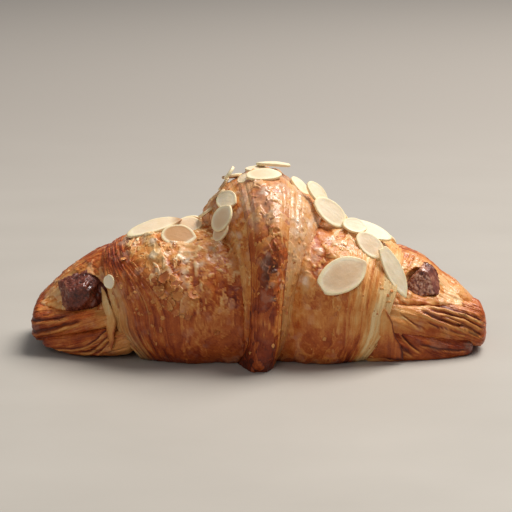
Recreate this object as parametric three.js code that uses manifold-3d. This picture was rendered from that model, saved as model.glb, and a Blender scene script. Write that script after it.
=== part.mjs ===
// A filled croissant, baked, with sliced almonds on top.
//
// A tall triangle of laminated dough is rolled round a bar of dark filling. The roll lies along X,
// with its front towards -Y, its top towards +Z and its flat underside on z = 0. From the tips
// inwards it is made of two ends, two shoulder wraps, the belt wrap over them, and the tongue,
// which is the point of the triangle: it comes over the top and ends at the foot of the front.
// All sizes are in millimetres.
import * as THREE from 'three';
import { mergeVertices } from 'three/addons/utils/BufferGeometryUtils.js';
import Module from 'manifold-3d';

// ---- Driving sizes -------------------------------------------------------------------------

const LENGTH = 160;
const TIP = LENGTH / 2;
const SHOULDER_HEIGHT = 42.5;
const BELT_RISE = 12.4; // how far the belt stands above the shoulders on top
const SHOULDER_DEPTH = 28; // from the axis to the front
const TOUCH_GAP = 0.3; // clearance between pieces that touch

// The cross-section of the roll: a rounded top over a squarer, flat foot.
const WAIST_SHARE = 0.42; // height of the widest level
const BELOW_TABLE_SHARE = 0.07; // how far the round would go on below the table
const TOP_POWER = 2.15;
const FOOT_POWER = 4;

// ---- Curves --------------------------------------------------------------------------------

const degrees = THREE.MathUtils.degToRad;
const mix = THREE.MathUtils.lerp;
const smooth = (value, from, to) => THREE.MathUtils.smoothstep(value, from, to);

// A smooth curve through knots [position, value], flat beyond its ends.
function along(...knots) {
  const slopes = knots.map((knot, i) => {
    const before = knots[Math.max(i - 1, 0)];
    const after = knots[Math.min(i + 1, knots.length - 1)];
    return (after[1] - before[1]) / (after[0] - before[0]);
  });
  return (position) => {
    const at = THREE.MathUtils.clamp(position, knots[0][0], knots[knots.length - 1][0]);
    const i = Math.min(Math.max(knots.findIndex((knot) => knot[0] > at), 1), knots.length - 1) - 1;
    const last = at >= knots[knots.length - 1][0] ? knots.length - 2 : i;
    const [x0, y0] = knots[last];
    const [x1, y1] = knots[last + 1];
    const span = x1 - x0;
    const t = (at - x0) / span;
    const leaving = (2 * t ** 3 - 3 * t ** 2 + 1) * y0 + (t ** 3 - 2 * t ** 2 + t) * span * slopes[last];
    const arriving = (3 * t ** 2 - 2 * t ** 3) * y1 + (t ** 3 - t ** 2) * span * slopes[last + 1];
    return leaving + arriving;
  };
}

// A smooth closed curve round the roll, through its values at six directions.
const DIRECTIONS = { foot: -50, front: 5, top: 90, back: 175, heel: 230, under: 270 };
function around(values) {
  const turn = Object.keys(DIRECTIONS).map((name) => [DIRECTIONS[name], values[name]]);
  const before = turn.slice(-2).map(([angle, value]) => [angle - 360, value]);
  const after = turn.slice(0, 2).map(([angle, value]) => [angle + 360, value]);
  const curve = along(...before, ...turn, ...after);
  return (angle) => {
    const fromUnder = THREE.MathUtils.euclideanModulo(THREE.MathUtils.radToDeg(angle) + 90, 360);
    return curve(fromUnder - 90);
  };
}

// Slow uneven swelling, from a few waves with fixed phases.
function swelling(x, angle, seed) {
  const a = Math.sin(0.19 * x + 2.1 * seed) * Math.sin(2 * angle + 0.7 * seed);
  const b = Math.sin(0.31 * x - 1.3 * seed) * Math.sin(3 * angle + 0.11 * x + 1.9 * seed);
  return 0.6 * a + 0.4 * b;
}

// ---- Closed bodies from rings --------------------------------------------------------------

// The directions round a ring, from straight down.
const turns = (count) => Array.from({ length: count }, (_, k) => (2 * Math.PI * k) / count - Math.PI / 2);

const middleOf = (ring) => (
  ring.reduce((sum, point) => sum.add(point), new THREE.Vector3()).divideScalar(ring.length)
);

// A closed surface over rings of points, with one pole at each end.
function closedBody(rings, firstPole, lastPole) {
  const count = rings[0].length;
  const points = [firstPole, ...rings.flat(), lastPole];
  const last = points.length - 1;
  const faces = [];
  const ringStart = (ring) => 1 + ring * count;
  for (let k = 0; k < count; k += 1) {
    const next = (k + 1) % count;
    faces.push(0, ringStart(0) + next, ringStart(0) + k);
    faces.push(last, ringStart(rings.length - 1) + k, ringStart(rings.length - 1) + next);
    for (let ring = 0; ring < rings.length - 1; ring += 1) {
      const a = ringStart(ring) + k;
      const b = ringStart(ring) + next;
      const c = ringStart(ring + 1) + k;
      const d = ringStart(ring + 1) + next;
      if ((ring + k) % 2) faces.push(a, b, c, b, d, c);
      else faces.push(a, b, d, a, d, c);
    }
  }
  const geometry = new THREE.BufferGeometry();
  const numbers = points.flatMap((point) => point.toArray());
  geometry.setAttribute('position', new THREE.Float32BufferAttribute(numbers, 3));
  geometry.setIndex(faces);
  return geometry;
}

// ---- Joining and cutting -------------------------------------------------------------------

const wasm = await Module();
wasm.setup();

function signedVolume(geometry) {
  const { attributes, index } = geometry;
  const at = (i) => new THREE.Vector3().fromBufferAttribute(attributes.position, index.getX(i));
  let volume = 0;
  for (let i = 0; i < index.count; i += 3) {
    volume += at(i).dot(at(i + 1).cross(at(i + 2))) / 6;
  }
  return volume;
}

function toSolid(source) {
  const bare = source.clone();
  bare.deleteAttribute('normal');
  bare.deleteAttribute('uv');
  const merged = mergeVertices(bare, 1e-4);
  const triVerts = new Uint32Array(merged.index.array);
  if (signedVolume(merged) < 0) triVerts.reverse();
  return new wasm.Manifold(new wasm.Mesh({
    numProp: 3,
    vertProperties: new Float32Array(merged.attributes.position.array),
    triVerts,
  }));
}

function toGeometry(solid) {
  const mesh = solid.getMesh();
  const geometry = new THREE.BufferGeometry();
  geometry.setAttribute('position', new THREE.BufferAttribute(new Float32Array(mesh.vertProperties), 3));
  geometry.setIndex(Array.from(mesh.triVerts));
  geometry.computeVertexNormals();
  return geometry;
}

const largestPiece = (solid) => solid.decompose().sort((a, b) => b.volume() - a.volume())[0];

// ---- The wraps of the roll -----------------------------------------------------------------

// A point on a wrap: its place along the roll, the angle round it (0 front, 90 top), and the
// lift of the surface above the wrap's own height and depth.
function sectionPoint(wrap, x, angle, lift) {
  const height = wrap.height(x);
  const waist = WAIST_SHARE * height;
  const cosine = Math.cos(angle);
  const sine = Math.sin(angle);
  const power = sine >= 0 ? TOP_POWER : FOOT_POWER;
  const rise = (sine >= 0 ? height - waist : waist + BELOW_TABLE_SHARE * height) + lift;
  const out = wrap.depth(x) + lift;
  return new THREE.Vector3(
    x,
    wrap.axis(x) - Math.sign(cosine) * Math.abs(cosine) ** (2 / power) * out,
    waist + Math.sign(sine) * Math.abs(sine) ** (2 / power) * rise,
  );
}

// A wrap from one edge curve to the other. Each row is its share of the way between the edges;
// relief(share, angle) lifts the surface. The edges are turned in and closed on the axis.
const EDGE_TURNED_IN = 0.35; // how far an edge is turned in, as a share of the way to the axis
function wrapBody(wrap, rows, count) {
  const edgeRing = (edge, inward) => turns(count).map((angle) => {
    const x = edge(angle);
    const rim = sectionPoint(wrap, x, angle, wrap.relief(edge === wrap.from ? 0 : 1, angle));
    const pole = new THREE.Vector3(edge(Math.PI / 2), wrap.axis(x), WAIST_SHARE * wrap.height(x));
    const point = rim.lerp(pole, EDGE_TURNED_IN);
    point.x = mix(x, pole.x, EDGE_TURNED_IN) + inward;
    return point;
  });
  const surface = rows.map((share) => turns(count).map((angle) => {
    const x = mix(wrap.from(angle), wrap.to(angle), share);
    return sectionPoint(wrap, x, angle, wrap.relief(share, angle));
  }));
  const first = edgeRing(wrap.from, wrap.undercut);
  const last = edgeRing(wrap.to, -wrap.undercut);
  return closedBody([first, ...surface, last], middleOf(first), middleOf(last));
}

// Layers that show at the cut side of the dough: each is a little higher than the one outside it,
// and its outer lip stands up. width is the share of the wrap that the layers take.
const LAYER_CROWDING = 0.85; // below 1, the layers grow wider towards the middle of the roll
const LIP_WIDTH = 1 / 6; // of a layer
const LIP_HEIGHT = 0.55; // of a step
function terraces(share, layers, width, step) {
  const place = THREE.MathUtils.clamp(share / width, 0, 1) ** LAYER_CROWDING * layers;
  const layer = Math.min(Math.floor(place), layers - 1);
  const within = place - layer;
  const lip = LIP_HEIGHT * Math.min(within / LIP_WIDTH, 1);
  return step * (layer - layers + lip + (1 - LIP_HEIGHT) * within);
}

// Rows for a wrap with terraces: two for each layer, then even ones.
function terraceRows(layers, width, plainRows) {
  const rows = [0];
  const shareOf = (place) => (place / layers) ** (1 / LAYER_CROWDING) * width;
  const nearlyWhole = 0.999; // of a layer, just before the next one's lip
  for (let layer = 0; layer < layers; layer += 1) {
    rows.push(shareOf(layer + LIP_WIDTH));
    rows.push(shareOf(layer + nearlyWhole));
  }
  for (let row = 1; row <= plainRows; row += 1) {
    rows.push(mix(width, 1, row / plainRows));
  }
  return rows;
}

const SHOULDER_LAYERS = 5;
const SHOULDER_LAYERS_SHARE = 0.42; // of the shoulder's length
const SHOULDER_STEP = 0.85;
const SHOULDER_UNDERCUT = 2.5; // how far its edge is turned under
const UNDERSIDE_RELIEF = 0.35; // share of a step that is left under the roll

function shoulder(side) {
  return {
    from: around(side.edge),
    to: () => side.inner,
    height: along(...side.heights),
    depth: along(...side.depths),
    axis: along(...side.axis),
    undercut: side.towardsMiddle * SHOULDER_UNDERCUT,
    relief: (share, angle) => {
      const layered = terraces(share, SHOULDER_LAYERS, SHOULDER_LAYERS_SHARE, SHOULDER_STEP);
      const uneven = 0.7 * smooth(share, 0.3, 0.6) * swelling(90 * share, angle, side.seed);
      return layered * mix(UNDERSIDE_RELIEF, 1, smooth(Math.sin(angle), -0.95, -0.2)) + uneven;
    },
  };
}

const leftShoulder = shoulder({
  edge: { foot: -41, front: -50, top: -55, back: -55, heel: -50, under: -44 },
  inner: -2,
  heights: [[-58, 35.6], [-50, 39.6], [-40, 42], [-25, SHOULDER_HEIGHT], [-2, 43]],
  depths: [[-58, 22.5], [-50, 26], [-40, 29], [-25, SHOULDER_DEPTH + 2], [-8, 29], [-2, 28]],
  axis: [[-58, 0], [-25, 0]],
  towardsMiddle: 1,
  seed: 1,
});
const rightShoulder = shoulder({
  edge: { foot: 37, front: 44.5, top: 51, back: 52, heel: 48, under: 41 },
  inner: 2,
  heights: [[2, 44], [16, 45], [24, 44.5], [32, 43], [40, 41], [52, 36.5]],
  depths: [[2, 26], [10, 28], [22, SHOULDER_DEPTH + 3], [38, 30.5], [52, 27]],
  axis: [[25, 0], [52, 0]],
  towardsMiddle: -1,
  seed: 2,
});

// The belt: the last full wrap over the shoulders, a steep bulge from side to side.
const BELT_PROUD = 0.8; // how far its edges stand above its own section
const BELT_STEP = 0.8; // its layers on the right, where they are wide
const BELT_FINE_STEP = 0.6; // and on the left
const beltShape = {
  height: () => 47,
  depth: () => 29,
  axis: () => 0,
};
const beltBulge = around({ foot: 2.4, front: 3.2, top: BELT_RISE, back: 5, heel: 2.5, under: 1 });
const belt = {
  ...beltShape,
  from: around({ foot: -6.5, front: -6.5, top: -17.5, back: -22, heel: -18, under: -10 }),
  to: around({ foot: 5.5, front: 12, top: 22, back: 24, heel: 19, under: 10 }),
  undercut: 0,
  relief: (share, angle) => {
    const layered = terraces(1 - share, 4, 0.5, BELT_STEP) + terraces(share, 2, 0.25, BELT_FINE_STEP);
    const across = (1 - Math.abs(2 * share - 1) ** 2.1) ** 0.72;
    return beltBulge(angle) * across + layered * smooth(Math.sin(angle), -1, -0.2) + BELT_PROUD;
  },
};
// Rows closer together over the layers of its right side.
const beltRows = [
  0, 0.03, 0.12, 0.25, 0.4,
  ...terraceRows(4, 0.5, 0).reverse().map((share) => 1 - share),
];
const beltLift = (x, angle) => {
  const share = (x - belt.from(angle)) / (belt.to(angle) - belt.from(angle));
  return belt.relief(THREE.MathUtils.clamp(share, 0, 1), angle);
};

// The tongue: the point of the triangle, a raised ridge over the belt that ends in the foot.
const TONGUE_EDGE_SUNK = 0.8; // how deep its edges lie in the belt
const tongueRise = around({ foot: 3.8, front: 3.2, top: 1.4, back: 2.2, heel: 2, under: 1 });
const tongue = {
  ...beltShape,
  from: around({ foot: -7.6, front: -3.9, top: -9, back: -14, heel: -12, under: -8 }),
  to: around({ foot: 6.5, front: 8.8, top: 12, back: 15, heel: 13, under: 8 }),
  undercut: 0,
  relief: (share, angle) => {
    const x = mix(tongue.from(angle), tongue.to(angle), share);
    const ridge = (1 - Math.abs(2 * share - 1) ** 2.6) ** 0.6;
    const uneven = 0.4 * swelling(40 * share, 3 * angle, 4) * ridge;
    const edgeSunk = TONGUE_EDGE_SUNK * (1 - ridge);
    return beltLift(x, angle) + tongueRise(angle) * ridge - edgeSunk + uneven;
  },
};

// ---- The ends ------------------------------------------------------------------------------

const TIP_ROUND = 3; // rounding of the blunt tips
const TIP_ROUND_SHARE = 0.06; // of the length of an end

// The sheet at the back and bottom of an end, blunt at the tip where the dough was cut.
function endBody(side) {
  const shape = {
    height: along(...side.heights),
    depth: along(...side.depths),
    axis: along(...side.axis),
  };
  const rows = [0, 0.02, TIP_ROUND_SHARE, 0.14, 0.24, 0.36, 0.5, 0.65, 0.82, 1];
  const rings = rows.map((share) => turns(28).map((angle) => {
    const lean = side.lean * Math.max(0, -Math.sin(angle)) * (1 - share);
    const rounding = -TIP_ROUND * (1 - Math.min(share / TIP_ROUND_SHARE, 1)) ** 2;
    return sectionPoint(shape, mix(side.tip, side.inner, share) + lean, angle, rounding);
  }));
  const pole = (x) => new THREE.Vector3(x, shape.axis(x), WAIST_SHARE * shape.height(x));
  return closedBody(rings, pole(side.tip), pole(side.inner));
}

const leftEnd = endBody({
  tip: -TIP,
  inner: -40,
  lean: 4,
  heights: [[-80, 13.5], [-75.5, 18], [-69.5, 24], [-65, 27.5], [-59.7, 31], [-54, 33.8], [-40, 35]],
  depths: [[-80, 11], [-70, 15], [-60, 18.5], [-40, 21]],
  axis: [[-80, 4], [-40, 3]],
});
const rightEnd = endBody({
  tip: TIP,
  inner: 38,
  lean: -3,
  heights: [[38, 34], [50, 33.5], [55, 31.7], [60, 28.8], [66, 23.5], [70.6, 20.5], [75.9, 15], [80, 10]],
  depths: [[38, 22], [52, 21], [66, 18], [80, 12]],
  axis: [[38, 3], [80, 3]],
});

// A fold of dough: a bar with a rounded, layered section along a bent path. high and deep are its
// full sizes at the two ends; the layers run along it and turn slowly round it.
const FOLD_LAYERS = 9;
const FOLD_GROOVE = 0.07; // depth of a groove, as a share of the radius
const FOLD_SQUARE = 0.75; // 1 is an ellipse, less is squarer
const FOLD_END_SHARE = 0.1; // of its length, where each end narrows
const FOLD_END_SIZE = 0.4; // of its full section
function foldBody({ start, middle, end, high, deep, turn }) {
  const [from, by, to] = [start, middle, end].map((point) => new THREE.Vector3(...point));
  const path = new THREE.QuadraticBezierCurve3(from, by, to);
  const rows = [0, 0.03, 0.1, 0.25, 0.4, 0.55, 0.7, 0.85, 0.95, 1];
  const rings = rows.map((share) => {
    const centre = path.getPoint(share);
    const fromEnd = Math.min(share, 1 - share, FOLD_END_SHARE) / FOLD_END_SHARE;
    const taper = mix(FOLD_END_SIZE, 1, Math.sqrt(1 - (1 - fromEnd) ** 2));
    return turns(24).map((angle) => {
      const groove = 1 - FOLD_GROOVE * Math.max(0, Math.cos(FOLD_LAYERS * angle + turn * share));
      const cosine = Math.cos(angle);
      const sine = Math.sin(angle);
      const out = mix(deep[0], deep[1], share) / 2 * taper * groove;
      const rise = mix(high[0], high[1], share) / 2 * taper * groove;
      return new THREE.Vector3(
        centre.x,
        centre.y - Math.sign(cosine) * Math.abs(cosine) ** FOLD_SQUARE * out,
        centre.z + Math.sign(sine) * Math.abs(sine) ** FOLD_SQUARE * rise,
      );
    });
  });
  return closedBody(rings, path.getPoint(0), path.getPoint(1));
}

// Left: the layered block at the front of the end, and the fold under it.
const leftBlock = foldBody({
  start: [-79.5, -2, 9],
  middle: [-66, -7, 10],
  end: [-47, -13, 15],
  high: [13, 6],
  deep: [24, 20],
  turn: 1.5,
});
const leftUnderFold = foldBody({
  start: [-76, -4, 2.5],
  middle: [-62, -12, 3],
  end: [-42, -13, 8],
  high: [7, 13],
  deep: [20, 24],
  turn: -2,
});
// Right: the layered block, and the fold under it.
const rightBlock = foldBody({
  start: [79.5, -3, 7.5],
  middle: [66, -8, 12],
  end: [38, -11, 12],
  high: [14, 19],
  deep: [23, 26],
  turn: -1.5,
});
const rightUnderFold = foldBody({
  start: [75, -5, 3],
  middle: [62, -13, 3],
  end: [34, -13, 6],
  high: [8, 12],
  deep: [22, 22],
  turn: 2,
});

// A leaf of dough: a thin three-cornered flap, bellied outwards between its corners.
const LEAF_THICKNESS = 1.6;
const LEAF_ROOT = 1; // how much thicker it is at its middle, on the inner side
function leafBody(corners, belly) {
  const [a, b, c] = corners.map((corner) => new THREE.Vector3(...corner));
  const out = b.clone().sub(a).cross(c.clone().sub(a)).normalize();
  const steps = 6;
  const side = ([from, to]) => Array.from({ length: steps }, (_, k) => from.clone().lerp(to, k / steps));
  const edge = [[a, b], [b, c], [c, a]].flatMap(side);
  const centre = middleOf([a, b, c]);
  const ring = (reach, height) => edge.map((point) => (
    centre.clone().lerp(point, reach).addScaledVector(out, height)
  ));
  const half = LEAF_THICKNESS / 2;
  const rings = [
    ring(0.5, 0.75 * belly + half),
    ring(1, half),
    ring(1, -half),
    ring(0.5, 0.75 * belly - half - LEAF_ROOT),
  ];
  const pole = (height) => centre.clone().addScaledVector(out, height);
  return closedBody(rings, pole(belly + half), pole(belly - half - LEAF_ROOT));
}
// A three-cornered leaf at the foot of the right shoulder, and a ragged flap beside the filling.
const footLeaf = leafBody([[42, -21, 20.5], [37, -25, 1], [50.5, -24.5, 0]], 1.4);
const endFlap = leafBody([[60, -4, 25.5], [70, -11, 16.5], [72.5, -3, 20]], 0.8);

// ---- The filling ---------------------------------------------------------------------------

const BAR_RADIUS = 5.5;
const LUMP_RADIUS = 5.9;
const LUMP_CHUNKS = [0.9, 0.7]; // height of its large and small chunks

// One bar of filling through the whole roll, coming out at both ends as rough lumps. grow makes
// the same form larger all round.
function fillingBody(grow) {
  const path = new THREE.CatmullRomCurve3([
    new THREE.Vector3(-70, -7, 19.5),
    new THREE.Vector3(-62, -9, 20),
    new THREE.Vector3(-45, -1, 21),
    new THREE.Vector3(0, 0, 22),
    new THREE.Vector3(42, -2, 23),
    new THREE.Vector3(56, -8, 23.5),
    new THREE.Vector3(65.5, -8, 21.5),
  ]);
  const radius = along(
    [0, 3.6], [0.05, LUMP_RADIUS], [0.13, LUMP_RADIUS], [0.25, BAR_RADIUS],
    [0.75, BAR_RADIUS], [0.9, LUMP_RADIUS], [0.96, 5.4], [1, 2.4],
  );
  const leftRows = [0, 0.02, 0.045, 0.07, 0.095, 0.12, 0.15, 0.22];
  const rightRows = [0.78, 0.83, 0.87, 0.9, 0.925, 0.95, 0.975, 1];
  const rings = [...leftRows, 0.36, 0.5, 0.64, ...rightRows].map((share) => {
    const centre = path.getPointAt(share);
    return turns(18).map((angle) => {
      const large = LUMP_CHUNKS[0] * Math.sin(4 * angle + 90 * share);
      const small = LUMP_CHUNKS[1] * Math.sin(7 * angle - 140 * share);
      const chunks = large + small;
      const reach = radius(share) + chunks * smooth(Math.abs(share - 0.5), 0.3, 0.4) + grow;
      return new THREE.Vector3(
        centre.x,
        centre.y - Math.cos(angle) * reach,
        centre.z + Math.sin(angle) * reach,
      );
    });
  });
  const nose = new THREE.Vector3(1 + grow, 0, 0);
  return closedBody(rings, middleOf(rings[0]).sub(nose), middleOf(rings[rings.length - 1]).add(nose));
}

// The hollows in the ends where the dough gapes round the filling.
function hollowBody(centre, radii) {
  const geometry = new THREE.SphereGeometry(1, 16, 10);
  geometry.scale(...radii);
  geometry.translate(...centre);
  return geometry;
}
const hollows = [
  hollowBody([-62, -14, 21.5], [10, 14.5, 7.5]),
  hollowBody([57, -15, 25.5], [11, 15.5, 7.5]),
];

// ---- The pastry before it is fitted to its almonds -----------------------------------------

const pastryParts = [
  wrapBody(leftShoulder, terraceRows(SHOULDER_LAYERS, SHOULDER_LAYERS_SHARE, 5), 36),
  wrapBody(rightShoulder, terraceRows(SHOULDER_LAYERS, SHOULDER_LAYERS_SHARE, 5), 36),
  wrapBody(belt, beltRows, 36),
  wrapBody(tongue, [0, 0.04, 0.12, 0.25, 0.4, 0.55, 0.7, 0.84, 0.93, 1], 38),
  leftEnd,
  rightEnd,
  leftBlock,
  leftUnderFold,
  rightBlock,
  rightUnderFold,
  footLeaf,
  endFlap,
];
const TABLE_THICKNESS = 40;
const table = new THREE.BoxGeometry(2 * LENGTH, LENGTH, TABLE_THICKNESS);
table.translate(0, 0, -TABLE_THICKNESS / 2);
let pastry = pastryParts.map(toSolid).reduce((whole, part) => whole.add(part));
for (const hollow of hollows) {
  pastry = pastry.subtract(toSolid(hollow));
}
pastry = pastry.subtract(toSolid(fillingBody(TOUCH_GAP))).subtract(toSolid(table));

// ---- The almond slices ---------------------------------------------------------------------

const SLICE_THICKNESS = 1;
const SLICE_SINK = 0.5; // how far a slice is pressed into the glaze of the crust
const SLICE_CURL = 0.03; // sag of its ends, as a share of its length
const SLICE_RIM = 0.62; // where the rounding towards the rim begins, as a share of the way out
const LOOK_OUT = 60; // where a falling slice starts, measured from the axis
const AXIS_HEIGHT = 20;

// Each slice falls towards the axis of the roll and stops on what it meets first.
// x: its place along the roll. from: the side that it falls from (0 front, 90 top, 180 back).
// faces: where its face looks, as [turn from the front towards the right, height above level].
// turn: its long axis, from level. size: length and width. One end is more pointed.
const slices = [
  // Left shoulder, from the outside in.
  { x: -51, from: 21, faces: [-30, 25], turn: -50, size: [5.6, 4.2] },
  { x: -24.5, from: 80, faces: [-5, 58], turn: 12, size: [10, 8] },
  { x: -36.5, from: 80, faces: [-40, 68], turn: 46, size: [20.5, 9] },
  { x: -27.4, from: 61, faces: [0, 50], turn: -8, size: [12.8, 9] },
  { x: -18.5, from: 84, faces: [-110, 52], turn: 20, size: [6, 6] },
  // Left flank of the dome.
  { x: -13, from: 54, faces: [-40, 22], turn: 60, size: [7.5, 5] },
  { x: -12.5, from: 59, faces: [-38, 25], turn: 68, size: [10.5, 7.5] },
  { x: -11, from: 71, faces: [-30, 40], turn: -10, size: [8.4, 7.2] },
  { x: -14.3, from: 86, faces: [-110, 50], turn: 10, size: [8, 6] },
  { x: -12.2, from: 84, faces: [-99, 34], turn: 5, size: [7.4, 5.4] },
  { x: -10.2, from: 80, faces: [-95, 36], turn: 5, size: [6.6, 5.4] },
  { x: -9.5, from: 104, faces: [-150, 72], turn: 25, size: [9.5, 7] },
  { x: -5, from: 84, faces: [-40, 55], turn: 50, size: [5.5, 4.4] },
  // Top of the dome.
  { x: 1.8, from: 82, faces: [0, 73], turn: 5, size: [12.8, 8] },
  { x: -1, from: 98, faces: [-60, 86], turn: 10, size: [9, 7] },
  { x: 5, from: 100, faces: [160, 84], turn: 10, size: [12.5, 8] },
  // Right flank of the dome and the right shoulder, from the inside out.
  { x: 14.4, from: 92, faces: [60, 40], turn: -70, size: [9, 6] },
  { x: 22, from: 95, faces: [104, 44], turn: -4, size: [15, 7] },
  { x: 37.5, from: 80, faces: [36, 66], turn: -46, size: [19, 9.5] },
  { x: 20.5, from: 86, faces: [50, 32], turn: -62, size: [11, 7] },
  { x: 21.5, from: 102, faces: [98, 27], turn: -4, size: [9, 6] },
  { x: 25, from: 76, faces: [32, 36], turn: -54, size: [15, 9] },
  { x: 33, from: 70, faces: [20, 52], turn: -25, size: [9, 6.5] },
  { x: 38.2, from: 52, faces: [20, 40], turn: -58, size: [12.5, 8] },
  { x: 46, from: 30, faces: [30, 24], turn: -74, size: [20.5, 7] },
  { x: 28.2, from: 24, faces: [8, 34], turn: 28, size: [20, 12] },
  // The back of the roll.
  { x: -40, from: 142, faces: [200, 42], turn: -22, size: [16, 8.6] },
  { x: -26, from: 150, faces: [178, 26], turn: -35, size: [14, 9] },
  { x: -13, from: 138, faces: [215, 30], turn: 65, size: [12, 8] },
  { x: 2, from: 124, faces: [180, 40], turn: 10, size: [15, 8.5] },
  { x: 12, from: 146, faces: [165, 26], turn: -60, size: [17, 9.5] },
  { x: 27, from: 134, faces: [175, 40], turn: 40, size: [13, 8.4] },
  { x: 42, from: 150, faces: [158, 30], turn: 16, size: [18, 9] },
];

// A slice lying level at the origin, its long axis along X: an egg-shaped outline with a slight
// sag towards the ends. grow makes it larger all round.
function sliceBody([length, width], grow) {
  const ring = (reach, height) => turns(14).map((angle) => {
    const pointed = Math.abs(Math.cos(angle / 2)) ** 2;
    const x = (length / 2 + grow) * reach * Math.cos(angle);
    const side = Math.sin(angle);
    const y = (width / 2 + grow) * reach * Math.sign(side) * Math.abs(side) ** (0.9 + 0.5 * pointed);
    return new THREE.Vector3(x, y, height - SLICE_CURL * length * (2 * x / length) ** 2);
  });
  const half = SLICE_THICKNESS / 2 + grow;
  const rings = [
    ring(SLICE_RIM, half),
    ring(0.98, 0.55 * half),
    ring(1, -0.3 * half),
    ring(SLICE_RIM, -half),
  ];
  return closedBody(rings, new THREE.Vector3(0, 0, half), new THREE.Vector3(0, 0, -half));
}

// Turns a level slice so that its face looks the given way.
function slicePose({ faces, turn }) {
  const [heading, climb, spin] = [faces[0], faces[1], turn].map(degrees);
  const normal = new THREE.Vector3(
    Math.sin(heading) * Math.cos(climb),
    -Math.cos(heading) * Math.cos(climb),
    Math.sin(climb),
  );
  const level = new THREE.Vector3(0, 0, 1).cross(normal).normalize();
  const upward = normal.clone().cross(level);
  const long = level.clone().multiplyScalar(Math.cos(spin)).addScaledVector(upward, Math.sin(spin));
  return new THREE.Matrix4().makeBasis(long, normal.clone().cross(long), normal);
}

// How far a slice can fall along a direction before a point of it meets the crust or a slice.
const caster = new THREE.Raycaster();
function fallUntilContact(geometry, direction, crust, laid) {
  const places = geometry.attributes.position;
  let fall = Infinity;
  for (let i = 0; i < places.count; i += 1) {
    caster.set(new THREE.Vector3().fromBufferAttribute(places, i), direction);
    const onCrust = caster.intersectObject(crust)[0];
    const onSlice = caster.intersectObjects(laid)[0];
    if (onCrust) fall = Math.min(fall, onCrust.distance + SLICE_SINK);
    if (onSlice) fall = Math.min(fall, onSlice.distance - TOUCH_GAP);
  }
  return fall;
}

const crust = new THREE.Mesh(toGeometry(pastry));
const laid = [];
for (const slice of slices) {
  const side = degrees(slice.from);
  const outward = new THREE.Vector3(0, -Math.cos(side), Math.sin(side));
  const start = outward.clone().multiplyScalar(LOOK_OUT).add(new THREE.Vector3(slice.x, 0, AXIS_HEIGHT));
  const pose = slicePose(slice).setPosition(start);
  const inward = outward.clone().negate();
  const fall = fallUntilContact(sliceBody(slice.size, 0).applyMatrix4(pose), inward, crust, laid);
  const place = (lift) => pose.clone().setPosition(start.clone().addScaledVector(inward, fall - lift));
  // Edges can still cross between the points that were tried: such a slice is lifted clear.
  const crossing = (lift) => {
    const tried = toSolid(sliceBody(slice.size, TOUCH_GAP).applyMatrix4(place(lift)));
    return laid.some((other) => other.solid.intersect(tried).volume() > 0);
  };
  let lift = 0;
  while (crossing(lift)) {
    lift += TOUCH_GAP;
  }
  const mesh = new THREE.Mesh(sliceBody(slice.size, 0).applyMatrix4(place(lift)));
  mesh.solid = toSolid(mesh.geometry);
  laid.push(mesh);
  pastry = pastry.subtract(toSolid(sliceBody(slice.size, TOUCH_GAP).applyMatrix4(place(lift))));
}
pastry = largestPiece(pastry);

// ---- The group -----------------------------------------------------------------------------

const croissant = new THREE.Group();

function addPiece(name, geometry, material) {
  const mesh = new THREE.Mesh(geometry, material);
  mesh.name = name;
  croissant.add(mesh);
}

addPiece('pastry', toGeometry(pastry), new THREE.MeshStandardMaterial({
  color: '#a8642f',
  roughness: 0.45,
  metalness: 0,
}));
addPiece('filling', toGeometry(toSolid(fillingBody(0))), new THREE.MeshStandardMaterial({
  color: '#40241c',
  roughness: 0.35,
  metalness: 0,
}));
laid.forEach((mesh, i) => {
  const name = 'almond_slice_' + String(i + 1).padStart(2, '0');
  addPiece(name, toGeometry(mesh.solid), new THREE.MeshStandardMaterial({
    color: '#e6cfa2',
    roughness: 0.5,
    metalness: 0,
  }));
});

export default croissant;
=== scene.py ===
import itertools
import math

import bpy
import numpy as np
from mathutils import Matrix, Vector


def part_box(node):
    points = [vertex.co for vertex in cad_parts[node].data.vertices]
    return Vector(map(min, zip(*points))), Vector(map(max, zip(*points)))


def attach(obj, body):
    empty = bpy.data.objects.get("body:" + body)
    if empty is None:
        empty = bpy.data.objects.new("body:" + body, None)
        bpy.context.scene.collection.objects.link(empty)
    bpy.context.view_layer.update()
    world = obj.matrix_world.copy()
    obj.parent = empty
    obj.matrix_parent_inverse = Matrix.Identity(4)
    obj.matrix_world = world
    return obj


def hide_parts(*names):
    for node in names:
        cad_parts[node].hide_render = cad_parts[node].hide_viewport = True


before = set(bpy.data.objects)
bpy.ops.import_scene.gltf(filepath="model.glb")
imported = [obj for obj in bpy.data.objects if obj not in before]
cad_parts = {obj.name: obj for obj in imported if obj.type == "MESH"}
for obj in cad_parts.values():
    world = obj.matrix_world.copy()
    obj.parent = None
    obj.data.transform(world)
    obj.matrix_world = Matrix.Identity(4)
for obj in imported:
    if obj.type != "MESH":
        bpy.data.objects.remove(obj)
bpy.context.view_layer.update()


# ---- The filling ---------------------------------------------------------------------------------
# One bar of dark chocolate filling that the dough is rolled round. It swells out of both ends as
# rough, crumbly lumps with a moist sheen, lighter on their dry broken faces, with painted highlights
# on their crests and glossy faces and painted shade in their hollows.

MM = 0.001
# 4096 random directions, the slopes of the waves below.
SLOPES = np.random.default_rng(11).normal(size=(4096, 3))
SLOPES /= np.linalg.norm(SLOPES, axis=1)[:, None]


def scatter_index(cell, seed):
    """A number from 0 to 4095 for each cell of a cubic lattice, the same on every run."""
    mixed = (cell[..., 0] * 73856093) ^ (cell[..., 1] * 19349663) ^ (cell[..., 2] * 83492791)
    return (mixed ^ (seed * 7919)) & 4095


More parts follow.
